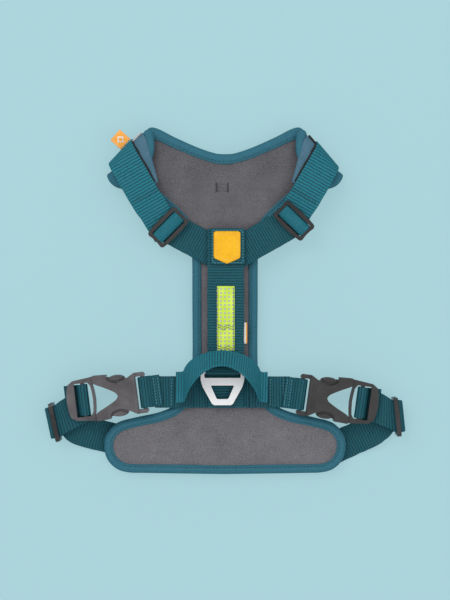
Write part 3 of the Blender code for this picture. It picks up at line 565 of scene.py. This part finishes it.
# shoulders
GAP, WEB, WEB_THICK = 0.3, 25.0, 1.5
FOLD_POINT, FOLD_Z = (78.75, 111.9), 13.3
STRAP_END_Z, LOWER_START_Z, BUCKLE_Z = 15.85, 14.05, 15.1
WING_BEND, BACKING_BEND, STRAP_BEND = 4.5, 8.1, 9.45
STRAP_HEADING = math.radians(60)
SIDES = {
    "left": {"adjuster": (45.2, 58.9), "turn": math.radians(44.5), "upper_end": 68.0,
             "lower": math.radians(28),
             "rise": 1.6, "reach": 62.0, "buckle": (67.8, -73.1), "tilt": math.radians(7.2),
             "side": (136.0, -96.8), "side_tilt": math.radians(12), "girth": (118.0, -103.5),
             "heading": math.radians(14), "girth_reach": 58.0},
    "right": {"adjuster": (55.05, 64.35), "turn": math.radians(46), "upper_end": 58.5,
              "lower": math.radians(30),
              "rise": 3.4, "reach": 70.0, "buckle": (63.9, -74.8), "tilt": math.radians(7.8),
              "side": (137.2, -92.4), "side_tilt": math.radians(-6), "girth": (118.5, -104.0),
              "heading": math.radians(26), "girth_reach": 40.0},
}


def strap_way(sign):
    heading = -STRAP_HEADING if sign < 0 else STRAP_HEADING - math.pi
    return heading, Vector((math.cos(heading), math.sin(heading)))


def adjuster_place(name, side):
    """The adjuster's own frame: X along the strap, Y along its long side, Z away from the strap."""
    sign = SIGNS[name]
    heading, way = strap_way(sign)
    slope = math.atan2(FOLD_Z + STRAP_BEND - STRAP_END_Z, side["upper_end"] - 30.0)
    spot = Vector((sign * side["adjuster"][0], side["adjuster"][1]))
    reach = (spot - Vector((sign * FOLD_POINT[0], FOLD_POINT[1]))).dot(way)
    base = at(spot.x, spot.y, STRAP_END_Z + (side["upper_end"] - reach) * math.tan(slope), heading)
    turn = -side["turn"] if sign < 0 else side["turn"] - math.pi
    rise = Matrix.Translation((0, 0, (WEB_THICK / 2 + 1.5 + GAP) / math.cos(slope)))
    return base @ Matrix.Rotation(slope, 4, "Y") @ rise @ Matrix.Rotation(turn - heading, 4, "Z")


def on(place, points):
    """Points in a place's own frame, as row frame millimetres."""
    return [tuple(place @ Vector(p)) for p in points]


FOLDS = {"left": ((-76.0, 113.0), (-0.727, 0.685)), "right": ((74.8, 110.2), (0.762, 0.648))}


def fold(name, radius, drop=None, shape=None):
    """Rolls flat points (along, across, height) round the shoulder's fold."""
    sign = SIGNS[name]
    _, way = strap_way(sign)
    inner = np.array([way.y * sign, -way.x * sign])
    start = np.array([sign * FOLD_POINT[0], FOLD_POINT[1]])
    axis, normal = (np.array(v) for v in FOLDS[name])

    def warp(flat):
        s, a, h = flat.T
        if shape:
            s, a = shape(s, a * -sign)
            a = a * -sign
        spot = start + s[:, None] * np.array(way) - sign * a[:, None] * inner
        q = (spot - axis) @ normal
        turn = np.clip(q / radius, 0, math.pi)
        beyond = np.maximum(q - math.pi * radius, 0)
        rolled = spot + normal * np.where(q > 0, (radius + h) * np.sin(turn) - q - beyond, 0)[:, None]
        fall = drop(s) if drop else 0
        return np.c_[rolled, FOLD_Z + (radius + h) * np.cos(turn) - np.where(q > 0, 0, fall)]

    return warp


def folded(piece, name, material, radius, width, thick, reach, root, pitch, depth, drop=None, shape=None,
           **more):
    """A flat strip rolled round the shoulder's fold."""
    s = np.arange(-(math.pi * radius + root), reach, pitch / 6)
    centers = np.stack([s, s * 0, s * 0], axis=1)
    sides = np.tile([0.0, 1.0, 0.0], (len(s), 1))
    return strip(f"{name}_{piece}", centers, sides, width, thick, material, ROOT, pitch, depth,
                 warp=fold(name, radius, drop, shape), **more)


def build_shoulder(name, side):
    sign = SIGNS[name]
    heading, way = strap_way(sign)
    place = along(sign * FOLD_POINT[0], FOLD_POINT[1], FOLD_Z, heading)

    def spread(s, a):
        """The wing reaches further inwards near its fold."""
        return s, np.where(a > 0, a * np.clip(1.46 - 0.017 * (s + 6), 0.75, 1.5), a * 0.82)

    pad = folded("padded_wing", name, "wing", WING_BEND, 31.0, 5.4, 28, 6, 6.0, 0.2, shape=spread,
                 bulge=0.3, seed=1)
    stands_for(f"{name}_wing_pad")

    def outwards(s, a):
        """The strap leans outwards from its adjuster to the fold."""
        return s, a - 1.6 * np.clip((62 - s) / 30, 0, 1)

    def trim_shape(s, a):
        """The trim shows beside the strap on its inner edge only."""
        return outwards(s, np.where(a > 0, a, a * 0.84))

    back = folded("strap_trim", name, "trim", BACKING_BEND, 28.0, 0.6, 27, 4, 4.0, 0.05, shape=trim_shape,
                  seed=7,
                  wave=0.5)
    stands_for(f"{name}_strap_backing")
    fall = (FOLD_Z + STRAP_BEND - STRAP_END_Z) / (side["upper_end"] - 30)
    strap = folded("shoulder_webbing", name, "strap", STRAP_BEND, WEB, WEB_THICK, side["upper_end"], 20,
                   2.4, 0.5,
                   drop=lambda s: np.maximum(s - 30, 0) * fall, shape=outwards, seed=2 + sign)
    stands_for(f"{name}_shoulder_strap")
    axis, normal = (np.array(v) for v in FOLDS[name])
    line = np.array([-normal[1], normal[0]]) * sign
    piping = [(*(axis + normal * 7.9 + line * t), FOLD_Z + 0.5 + 0.06 * t) for t in np.linspace(-14, 22, 12)]
    # The left piping is painted light grey as a painted highlight; the same piping on the right is black
    # trim.
    rim = tube(f"{name}_fold_piping", piping, 0.9, "painted_highlight" if sign < 0 else "trim", sides=8)
    lower_way = -side["lower"] if sign < 0 else side["lower"] - math.pi
    x, y = sign * side["adjuster"][0], side["adjuster"][1]
    rise = side["rise"]
    lower = [(-8, 0), (14, 0), (24, rise * 0.3), (34, rise), (side["reach"], rise)]
    ribbon(f"{name}_lower_webbing", lower, WEB, WEB_THICK, "webbing", along(x, y, LOWER_START_Z, lower_way),
           ROOT,
           f"{name}_lower_shoulder_strap", pitch=2.2, depth=0.4, seed=5 + sign)
    frame_ = adjuster_place(name, side)
    band = smooth([(-5.0, -0.85), (-4.3, 1.0), (-1.9, 2.5), (1.9, 2.5), (4.3, 1.0), (5.0, -0.85)], 4)
    ribbon(f"{name}_adjuster_band", band, 24.9, 1.2, "strap", frame_ @ Matrix.Rotation(math.pi / 2, 4, "X"),
           f"{name}_shoulder_adjuster_body", f"{name}_adjuster_webbing", pitch=1.3, depth=0.35, rounds=1,
           wave=0.1)
    tacks = []
    for t in (31.5, 33.5):
        tacks.append(on(place, [(t, STRAP_BEND + 0.7 - (t - 30) * 0.18, v) for v in (-11.5, 0, 11.5)]))
    stitches(f"{name}_strap_tacks", tacks, "dark_thread", pitch=2.2)


def tube(name, points, radius, material, body=ROOT, sides=14, squash=1.0, taper=0.0):
    """A closed tube along points in millimetres, thinner towards its end by the share in taper."""
    centers = soften(resample(points, 0.7), 6)
    ways = unit(np.gradient(centers, axis=0))
    outs = unit(np.cross(ways, [0, 0, 1.0]))
    ups = np.cross(outs, ways)
    ends = np.minimum(np.arange(len(centers)), np.arange(len(centers))[::-1]) * 0.7
    swell = radius * (1 - taper * np.linspace(0, 1, len(centers)) ** 1.6)
    swell = swell * np.sqrt(np.clip(1 - (1 - np.clip(ends / radius, 0, 1)) ** 2, 0.02, 1))
    angles = np.arange(sides) * math.tau / sides
    verts = np.concatenate([centers + (outs * math.cos(a) + ups * math.sin(a) * squash) * swell[:, None]
                            for a in angles])
    return mesh_object(name, verts * MM, skin_faces(sides, len(centers)), material, body)


def build_wing_edges():
    """The rolled binding from each neck corner down the folded wing, with its seam."""
    for name, sign in SIGNS.items():
        route = [(62.6, 136.0, 14.6), (60.6, 131.0, 16.6), (59.4, 122.0, 17.6), (60.6, 113.0, 17.4),
                 (63.8, 104.5, 16.6)]
        points = [(sign * x, y, z) for x, y, z in smooth(route, 6)]
        bead = tube(f"{name}_rolled_edge", points, 3.9, "binding", squash=0.82, taper=0.5)
        stands_for(f"{name}_wing_binding")
        seam = [(x + sign * (3.3 - 0.06 * i), y, z + 1.75) for i, (x, y, z) in enumerate(points[4:-5])]
        stitches(f"{name}_rolled_edge_seam", [seam], "dark_thread")


# back webbing
CROSS_Y, CROSS_Z, SPINE_TOP_Y, SPINE_X, SPINE_TOP_Z = -72.6, 12.85, 57.5, 0.6, 19.25
JUNCTION_X, JUNCTION_Y = 2.2, 43.2
HANDLE_X, HANDLE_HALF, HANDLE_LEAN, HANDLE_FOOT_Z, HANDLE_RISE = -2.5, 30.5, 28.2, 14.9, 27.0


def spine_path():
    spine = smooth([(0, SPINE_TOP_Z), (-70, SPINE_TOP_Z), (-92, 17.2), (-112, 14.65)], 8)
    return [(-x, z) for x, z in spine] + [(142.5, 14.65)]


def spine_z(y):
    path = np.array(spine_path())
    return np.interp(SPINE_TOP_Y - np.asarray(y, dtype=float), path[:, 0], path[:, 1])


def build_back():
    place = along(SPINE_X, SPINE_TOP_Y, 0, -math.pi / 2)
    ribbon("spine_strap", spine_path(), 29.0, WEB_THICK, "webbing", place, ROOT, "spine_webbing", seed=9)
    top = SPINE_TOP_Z + WEB_THICK / 2 + GAP
    cover = [(-14.4 + t, top + WEB_THICK / 2) for t in np.linspace(0, 28.8, 20)]
    ribbon("junction_cover", cover, 27.0, WEB_THICK, "webbing",
           along(JUNCTION_X, JUNCTION_Y, 0, -math.pi / 2), ROOT,
           "junction_webbing", seed=10)
    high = top + WEB_THICK + 0.05
    border = [(JUNCTION_X + x, JUNCTION_Y + y, high) for x,
              y in ((-12, 12.6), (12, 12.6), (12, -12.8), (-12, -12.8), (-12, 12.6))]
    stitches("junction_seams", [border], "thread")


def build_patch():
    """A domed rubber shield with a stitched rim and a plain raised lozenge in its middle."""
    low, high = 22.1, 23.9
    half = [(0, 55.3), (9.2, 55.3), (10.6, 53.9), (10.6, 35.2), (9.6, 33.6), (0, 29.4)]
    loop = np.array([(1.6 + x, y) for x, y in half] + [(1.6 - x, y) for x, y in reversed(half[1:-1])])
    loop = resample(np.r_[loop, loop[:1]], 0.8)[:-1]

    def top(p):
        d = distance(p, loop)
        rim = np.exp(-((d - 1.0) / 0.55) ** 2) * 0.35
        groove = -np.exp(-((d - 2.2) / 0.4) ** 2) * 0.35
        x, y = (p[:, 0] - 1.6) / 6.2, (p[:, 1] - 44.0) / 7.2
        mark = np.abs(x) ** 1.6 + np.abs(y) ** 1.6
        raised = 0.45 / (1 + np.exp((mark - 0.9) * 14)) - 0.3 / (1 + np.exp((mark - 0.38) * 16))
        return high - 0.45 + rim + groove + raised - 0.9 * (1 - rounded(d, 0.7))

    def bottom(p):
        return np.full(len(p), low)

    patch = field("rubber_badge", [loop], 0.7, top, bottom, "patch")
    stands_for("rubber_patch")
    ring = inset(loop, 2.2)
    run = [(x, y, high - 0.62) for x, y in np.r_[ring, ring[:1]]]
    stitches("badge_stitching", [run], "yellow_thread", pitch=2.0, length=1.3, radius=0.26)


def build_tape():
    path = [(x, z + 1.55) for x, z in resample(spine_path(), 0.8) if 45 <= x <= 97.6]
    place = along(SPINE_X, SPINE_TOP_Y, 0, -math.pi / 2)
    band = ribbon("reflective_band", path, 14.0, 1.0, "neon", place, ROOT, pitch=4.0, depth=0.06, seed=21,
                  wave=0.1)
    stands_for("reflective_tape")
    runs = []
    for side in (-6.2, 6.2):
        runs.append([(SPINE_X + side, y, float(spine_z(y)) + 2.1) for y in np.linspace(11, -38.5, 30)])
    for y in (-19.8, -36.6):
        wave = [(SPINE_X + x, y + 1.1 * math.sin(x * 0.9),
                 float(spine_z(y)) + 2.15) for x in np.linspace(-6.4, 6.4, 24)]
        runs.append(wave)
        runs.append([(x, v - 1.9, z) for x, v, z in wave])
    stitches("reflective_band_seams", runs, "dark_thread", pitch=1.9, length=1.5, radius=0.24)
    path = [(x, z - 1.55) for x, z in resample(spine_path(), 0.8) if 74 <= x <= 92]
    place = along(SPINE_X + 12.7, SPINE_TOP_Y, 0, -math.pi / 2)
    label = ribbon("side_loop_label", path, 7.4, 0.7, "label", place, ROOT, pitch=3.0, depth=0.08, seed=22,
                   wave=0.1)
    stands_for("side_label")
    rim = [(SPINE_X + 16.5, SPINE_TOP_Y - x, z) for x, z in path]
    edge = tube("side_label_edge", rim, 0.55, "tag", sides=8)


def build_tag():
    """The orange tag on the left fold, with a plain diamond mark."""
    place = at(-83.4, 128.8, FOLD_Z, math.radians(48))
    corners = [(5.7 * x, 5.7 * y) for x, y in ((-1, -1), (1, -1), (1, 1), (-1, 1), (-1, -1))]
    loop = resample(corners, 0.8)[:-1]
    diamond = [(3.0, 0), (0, 3.0), (-3.0, 0), (0, -3.0)]
    for name, outline, low, high, material in (
        ("fold_tag", [loop], -0.4, 0.4, "tag"),
        ("fold_tag_mark", [resample(diamond + diamond[:1], 0.5)[:-1] * 1.15,
                           resample(diamond + diamond[:1], 0.4)[:-1] * 0.62], 0.3, 0.55, "tag_mark"),
    ):
        flat = field(name, outline, 0.8, lambda p, h=high: h + 0.12 * wrinkles(p, 31, 30, (3, 9)),
                     lambda p, h=low: np.full(len(p), h), material, place)
        if name == "fold_tag":
            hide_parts("orange_tag")
    border = on(place, [(x * 0.8, y * 0.8, 0.45) for x, y in corners])
    stitches("fold_tag_stitching", [border], "tag_mark", pitch=1.6, length=1.1, radius=0.14)


def build_cross_strap():
    left, right = -(67.8 - 12.0), 63.9 - 12.0
    ribbon("back_girth_webbing", [(left, CROSS_Z), (right, CROSS_Z)], WEB, WEB_THICK, "webbing",
           along(0, CROSS_Y, 0, 0), ROOT, "back_girth_strap", seed=12)
    top = CROSS_Z + WEB_THICK / 2 + 0.05
    rows = []
    for x in (-51.8, -42.6, 47.0, 36.2, 49.4):
        rows.append([(x, y, top) for y in (CROSS_Y - 10.8, CROSS_Y, CROSS_Y + 10.8)])
    stitches("back_girth_seams", rows, "thread", pitch=2.4, length=1.7)
    for name, x0, x1 in (("left", -40.0, -26.0), ("right", 20.0, 34.0)):
        z = CROSS_Z + WEB_THICK / 2 + GAP + 0.6
        ribbon(f"handle_{name}_sewn_foot", [(x0, z), (x1, z)], WEB, 1.2, "webbing", along(0, CROSS_Y, 0, 0),
               ROOT,
               f"handle_{name}_foot", pitch=2.2, depth=0.3, seed=13)
        high = z + 0.65
        box_ = [(x0 + 1.6, CROSS_Y - 10.6), (x1 - 1.6, CROSS_Y - 10.6), (x1 - 1.6, CROSS_Y + 10.6),
                (x0 + 1.6, CROSS_Y + 10.6), (x0 + 1.6, CROSS_Y - 10.6)]
        cross = [(x0 + 1.6, CROSS_Y - 10.6), (x1 - 1.6, CROSS_Y + 10.6)]
        other = [(x0 + 1.6, CROSS_Y + 10.6), (x1 - 1.6, CROSS_Y - 10.6)]
        stitches(f"handle_{name}_foot_seams",
                 [[(x, y, high) for x, y in run] for run in (box_, cross, other)],
                 "dark_thread", pitch=2.2, length=1.6)


def build_handle():
    """The grab handle: flat where it is sewn, twisting and leaning towards the neck over its top."""
    ends = math.radians(9)
    t = np.linspace(ends, math.pi - ends, 230)
    rise = np.sin(t)
    centers = np.stack([HANDLE_X - HANDLE_HALF * np.cos(t) * (1 - 0.1 * rise**2),
                        CROSS_Y + HANDLE_LEAN * rise,
                        HANDLE_FOOT_Z + HANDLE_RISE * rise], axis=1)
    turn = math.radians(64) * rise**0.7
    sides = np.stack([-0.06 * np.sin(2 * t), np.cos(turn), -np.sin(turn)], axis=1)
    feet = []
    for sign, start, side in ((-1, centers[0], sides[0]), (1, centers[-1], sides[-1])):
        reach = np.linspace(1, 0, 12)[:-1] * 7.0
        run = start + np.stack([sign * reach * 0.9, reach * -0.05, -reach * 0.14], axis=1)
        feet.append((run if sign < 0 else run[::-1], np.tile(side, (len(run), 1))))
    run = np.concatenate([feet[0][0], centers, feet[1][0]])
    across = unit(np.concatenate([feet[0][1], sides, feet[1][1]]))
    run = soften(run, 20)
    lengths = travelled(run)
    where = np.arange(0, lengths[-1], 0.37)
    run = np.stack([np.interp(where, lengths, run[:, i]) for i in range(3)], axis=1)
    across = unit(np.stack([np.interp(where, lengths, across[:, i]) for i in range(3)], axis=1))
    loop = strip("grab_handle", run, across, WEB, WEB_THICK, "strap", None, 2.2, 0.4, seed=17)
    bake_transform(loop)
    stands_for("handle_loop")


# rings, buckles and girth straps
def build_ring_tabs():
    tab = [(9, -2.6), (5, -2.6)] + arc((0, 0), 2.6, 270, 30, 16)
    ribbon("leash_ring_loop", tab, 26.4, 1.2, "webbing", along(-2, -56, 18.9, -math.pi / 2), ROOT,
           "leash_ring_tab",
           pitch=1.9, depth=0.3, rounds=2, seed=18, wave=0.1)
    front = arc((0, 0), 2.3, 150, 430, 16) + [(0, 2.3), (-16, 2.3)]
    ribbon("front_ring_loop", front, 18.0, 1.0, "webbing", along(-2, 82, 2.8, -math.pi / 2), ROOT,
           "front_ring_tab",
           pitch=1.9, depth=0.25, rounds=2, seed=19, wave=0.1)


def buckle_place(name, side):
    sign = SIGNS[name]
    tilt = -side["tilt"] if sign > 0 else math.pi + side["tilt"]
    return at(sign * side["buckle"][0], side["buckle"][1], BUCKLE_Z, tilt)


def build_buckle(name, side):
    place = buckle_place(name, side)
    flat = place @ Matrix.Rotation(math.pi / 2, 4, "X")
    strap = CROSS_Z - BUCKLE_Z
    loop = [(-17, strap + 1.8), (-11, strap + 1.8), (-6.5, 2.4)] + arc((-3.2, 0), 3.1, 90, -90,
                                                                       10) + [(-9.8, strap)]
    ribbon(f"{name}_socket_loop", loop, WEB, WEB_THICK, "webbing", flat, ROOT, f"{name}_socket_webbing",
           rounds=3, seed=23)
    rows = [on(flat, [(x, strap + 2.65, v) for v in (-10.8, 0, 10.8)]) for x in (-12.2, -15.4)]
    stitches(f"{name}_socket_loop_seams", rows, "thread", pitch=2.4)
    under = -2.5 - GAP - WEB_THICK / 2
    plug = [(60.0, under), (50.4, under), (49.4, -1.6), (47.9, 1.2)] + arc((44.6, 0), 3.3, 50, 250, 10)
    ribbon(f"{name}_plug_loop", plug, WEB, WEB_THICK, "webbing", flat, f"{name}_plug",
           f"{name}_plug_webbing",
           rounds=3, seed=24)


# Centres and unit vectors across the girth straps: plug to side adjuster, then back to the belly
GIRTH = {
    "left": {
        "upper": [((-111.5, -83.0, 10.9), (0.5, -0.866)), ((-118.5, -86.7, 11.6), (0.48, -0.877)),
                  ((-127.5, -91.6, 13.0), (0.33, -0.944)), ((-134.2, -96.0, 13.35), (0.208, -0.978))],
        "lower": [((-132.5, -96.1, 5.85), (0.208, -0.978)), ((-126.0, -99.6, 5.6), (-0.02, -1.0)),
                  ((-117.0, -103.4, 4.6), (-0.25, -0.968)), ((-106.0, -106.8, 3.0), (-0.27, -0.963)),
                  ((-96.0, -109.4, 1.2), (-0.25, -0.968)), ((-62.0, -117.5, 0.78), (-0.242, -0.97))],
    },
    "right": {
        "upper": [((110.5, -82.3, 10.9), (-0.14, -0.99)), ((119.0, -84.3, 11.6), (-0.13, -0.991)),
                  ((127.5, -87.8, 13.0), (-0.02, -1.0)), ((135.4, -91.9, 13.35), (0.104, -0.9945))],
        "lower": [((133.6, -92.6, 5.85), (0.104, -0.9945)), ((127.5, -97.6, 5.6), (0.3, -0.954)),
                  ((118.0, -104.2, 4.6), (0.42, -0.908)), ((108.0, -109.2, 3.0), (0.44, -0.898)),
                  ((99.0, -113.4, 1.2), (0.438, -0.899)), ((82.5, -121.5, 0.78), (0.438, -0.899))],
    },
}


def build_girth(name, side):
    sign = SIGNS[name]
    tilt = side["side_tilt"]
    inward = tilt if sign < 0 else math.pi - tilt
    place = along(sign * side["side"][0], side["side"][1], 9.6, inward)
    turn = GIRTH[name]["upper"][-1][1]
    loop = [(*on(place, [(x, y, 0)])[0], *turn) for x, y in arc((-1.6, 0), 3.75, 90, 270, 14)]
    run = [(*c, *s) for c, s in GIRTH[name]["upper"]] + loop + [(*GIRTH[name]["lower"][0][0], *turn)]
    back = smooth([(*c, *s) for c, s in GIRTH[name]["lower"]], 8)
    out = smooth(run[:5], 8)[:-1] + run[5:]
    for part, points, body in (("upper", out, f"{name}_plug"), ("lower", back, None)):
        dense = soften(resample(points, 0.38), 8)
        across = unit(np.c_[dense[:, 3:5], np.zeros(len(dense))])
        strap = strip(f"{name}_girth_{part}", dense[:, :3], across, WEB, WEB_THICK, "webbing", body, 2.2,
                      0.35,
                      seed=30 + sign)
        if part == "upper":
            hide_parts(f"{name}_girth_strap_end")
        else:
            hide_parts(f"{name}_girth_strap")
            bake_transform(strap)


def build_underside():
    ribbon("belly_strap", [(-52, 0.76), (66, 0.76)], WEB, WEB_THICK, "webbing", along(0, -113.0, 0, 0), ROOT,
           "belly_webbing", pitch=2.2, depth=0.3, seed=41, wave=0.1)
    runs = []
    for x0, x1 in ((-50, -38), (-8, 22), (52, 64)):
        runs.append([(x0, -123.5, 0.05), (x1, -123.5, 0.05), (x1, -102.5, 0.05), (x0, -102.5, 0.05),
                     (x0, -123.5, 0.05)])
        runs.append([(x0, -123.5, 0.05), (x1, -102.5, 0.05)])
    stitches("belly_strap_seams", runs, "thread", pitch=2.4, radius=0.05)


def build_panel_stitching():
    loop = LIP - inward_normals(LIP) * 2.1
    loop = np.r_[loop, loop[:1]]
    run = np.c_[loop, LIP_TOP - 0.5 + lift(loop[:, 1])]
    stitches("edge_seam", [run], "dark_thread", pitch=3.0, length=2.1, radius=0.3)
    runs = []
    for x in (-6.8, 2.3):
        runs.append([(x, y, LINING_TOP + 0.95 + float(lift(y))) for y in (94.4, 90.6, 86.8)])
    stitches("lining_tack_ends", runs, "tack_thread", pitch=1.2, length=1.2, radius=0.62)
    runs = []
    for y in (93.2, 90.6, 88.0):
        runs.append([(x, y, LINING_TOP + 0.95 + float(lift(y))) for x in (-6.0, -2.2, 1.6)])
    stitches("lining_tack_rows", runs, "grey_thread", pitch=1.2, length=1.0, radius=0.3)


# plastic and metal
def bevel(node, width, material, segments=3):
    obj = NODES[node]
    made = obj.modifiers.new("edges", "BEVEL")
    made.width = width * MM
    made.segments = segments
    made.limit_method = "ANGLE"
    made.angle_limit = math.radians(28)
    made.use_clamp_overlap = True
    obj.data.materials.clear()
    obj.data.materials.append(MAT[material])
    for polygon in obj.data.polygons:
        polygon.use_smooth = False


def block(name, place, outline, low, high, material, body, slope=0.0):
    """A small moulded block: an outline in a place's own XY plane, a little smaller at its top."""
    outline = np.array(outline, dtype=float)
    middle = outline.mean(0)
    layers = ((low, 1.0), (high - (high - low) * 0.3, 1.0 - slope * 0.5), (high, 1.0 - slope))
    count = len(outline)
    verts = [tuple(place @ Vector((*(middle + (p - middle) * size), z))) for z,
             size in layers for p in outline]
    faces = [(j * count + i, j * count + (i + 1) % count, (j + 1) * count + (i + 1) % count,
              (j + 1) * count + i)
             for j in range(len(layers) - 1) for i in range(count)]
    faces.append(tuple(range(count))[::-1])
    faces.append(tuple(range((len(layers) - 1) * count, len(layers) * count)))
    made = mesh_object(name, np.array(verts) * MM, faces, material, body, smooth=False)
    return made


def oval(x, y, rx, ry, steps=28):
    return [(x + rx * math.cos(math.tau * i / steps),
             y + ry * math.sin(math.tau * i / steps)) for i in range(steps)]


def build_plastics():
    for name, side in SIDES.items():
        sign = SIGNS[name]
        color = f"socket_{name}"
        bevel(f"{name}_buckle_socket", 0.9, color)
        bevel(f"{name}_buckle_plug", 0.9, color)
        for end in ("upper", "lower"):
            bevel(f"{name}_{end}_prong", 0.6, color)
        bevel(f"{name}_shoulder_adjuster", 0.8, "adjuster")
        bevel(f"{name}_side_adjuster", 0.8, "adjuster")
        place = buckle_place(name, side)
        for end, y in (("upper", sign), ("lower", -sign)):
            body = f"{name}_{end}_prong_arm"
            for part, way in (("", 1), ("_back", -1)):
                block(f"{name}_{end}_button{part}", place, oval(17.3, y * 14.5, 6.0, 2.1), way * 1.6,
                      way * 4.0,
                      color, body, 0.12)
            for i in range(3):
                x = 14.6 + 2.8 * i
                block(f"{name}_{end}_button_grip_{i}", place, oval(x, y * 14.5, 0.5, 1.3, 12), 3.8, 4.3,
                      color, body, 0.3)
        for i, x in enumerate((5.6, 8.0)):
            for y in (-1, 1):
                block(f"{name}_socket_ridge_{i}_{y + 1}", place, oval(x, y * 6.6, 0.6, 4.6, 16), 4.3, 4.75,
                      color, ROOT, 0.3)
    for node in ("leash_ring", "front_ring"):
        bevel(node, 0.85 if node == "leash_ring" else 0.6, "ring")


def plain(node, material):
    NODES[node].data.materials.clear()
    NODES[node].data.materials.append(MAT[material])


# stage, light and camera
def build_stage():
    bpy.ops.mesh.primitive_plane_add(size=6.0, location=(0, 0, -0.0006))
    floor = bpy.context.object
    floor.name = "floor"
    made = Nodes("pale_floor", 0.9, specular=0.0)
    made.shader.inputs["Base Color"].default_value = (*[v * (1 - FLOOR_GLOW) for v in FLOOR], 1)
    made.shader.inputs["Emission Color"].default_value = (*FLOOR, 1)
    made.shader.inputs["Emission Strength"].default_value = FLOOR_GLOW * 1.12
    floor.data.materials.append(made.material)
    world = bpy.data.worlds.new("studio")
    bpy.context.scene.world = world
    world.use_nodes = True
    world.node_tree.nodes["Background"].inputs["Color"].default_value = (1.0, 0.99, 0.98, 1)
    world.node_tree.nodes["Background"].inputs["Strength"].default_value = AMBIENT
    for name, spot, size, power in LAMPS:
        lamp = bpy.data.lights.new(name, "AREA")
        lamp.shape = "DISK"
        lamp.size = size
        lamp.energy = power
        holder = bpy.data.objects.new(name, lamp)
        holder.location = spot
        holder.rotation_euler = (-Vector(spot)).to_track_quat("-Z", "Y").to_euler()
        bpy.context.scene.collection.objects.link(holder)
    bpy.context.scene.view_settings.view_transform = "Standard"
    camera = bpy.data.cameras.new("camera")
    camera.lens = 85.0
    camera.sensor_width = 36.0
    camera.clip_start = 0.05
    holder = bpy.data.objects.new("camera", camera)
    holder.location = (0.0, 0.0008, 0.01 + 0.48 * 85.0 / 36.0)
    bpy.context.scene.collection.objects.link(holder)
    bpy.context.scene.camera = holder


FLOOR = (0.372, 0.592, 0.64)
FLOOR_GLOW = 0.7
AMBIENT = 0.78
LAMPS = (
    ("key", (-0.8, 0.9, 1.6), 1.3, 11.0),
    ("fill", (0.9, -0.4, 1.5), 1.8, 6.0),
)

build_panel()
build_panel_stitching()
for side_name, settings in SIDES.items():
    build_shoulder(side_name, settings)
    build_buckle(side_name, settings)
    build_girth(side_name, settings)
build_wing_edges()
build_back()
build_patch()
build_tape()
build_tag()
build_cross_strap()
build_handle()
build_ring_tabs()
build_underside()
build_plastics()
plain("pad_foam_core", "foam")
build_stage()
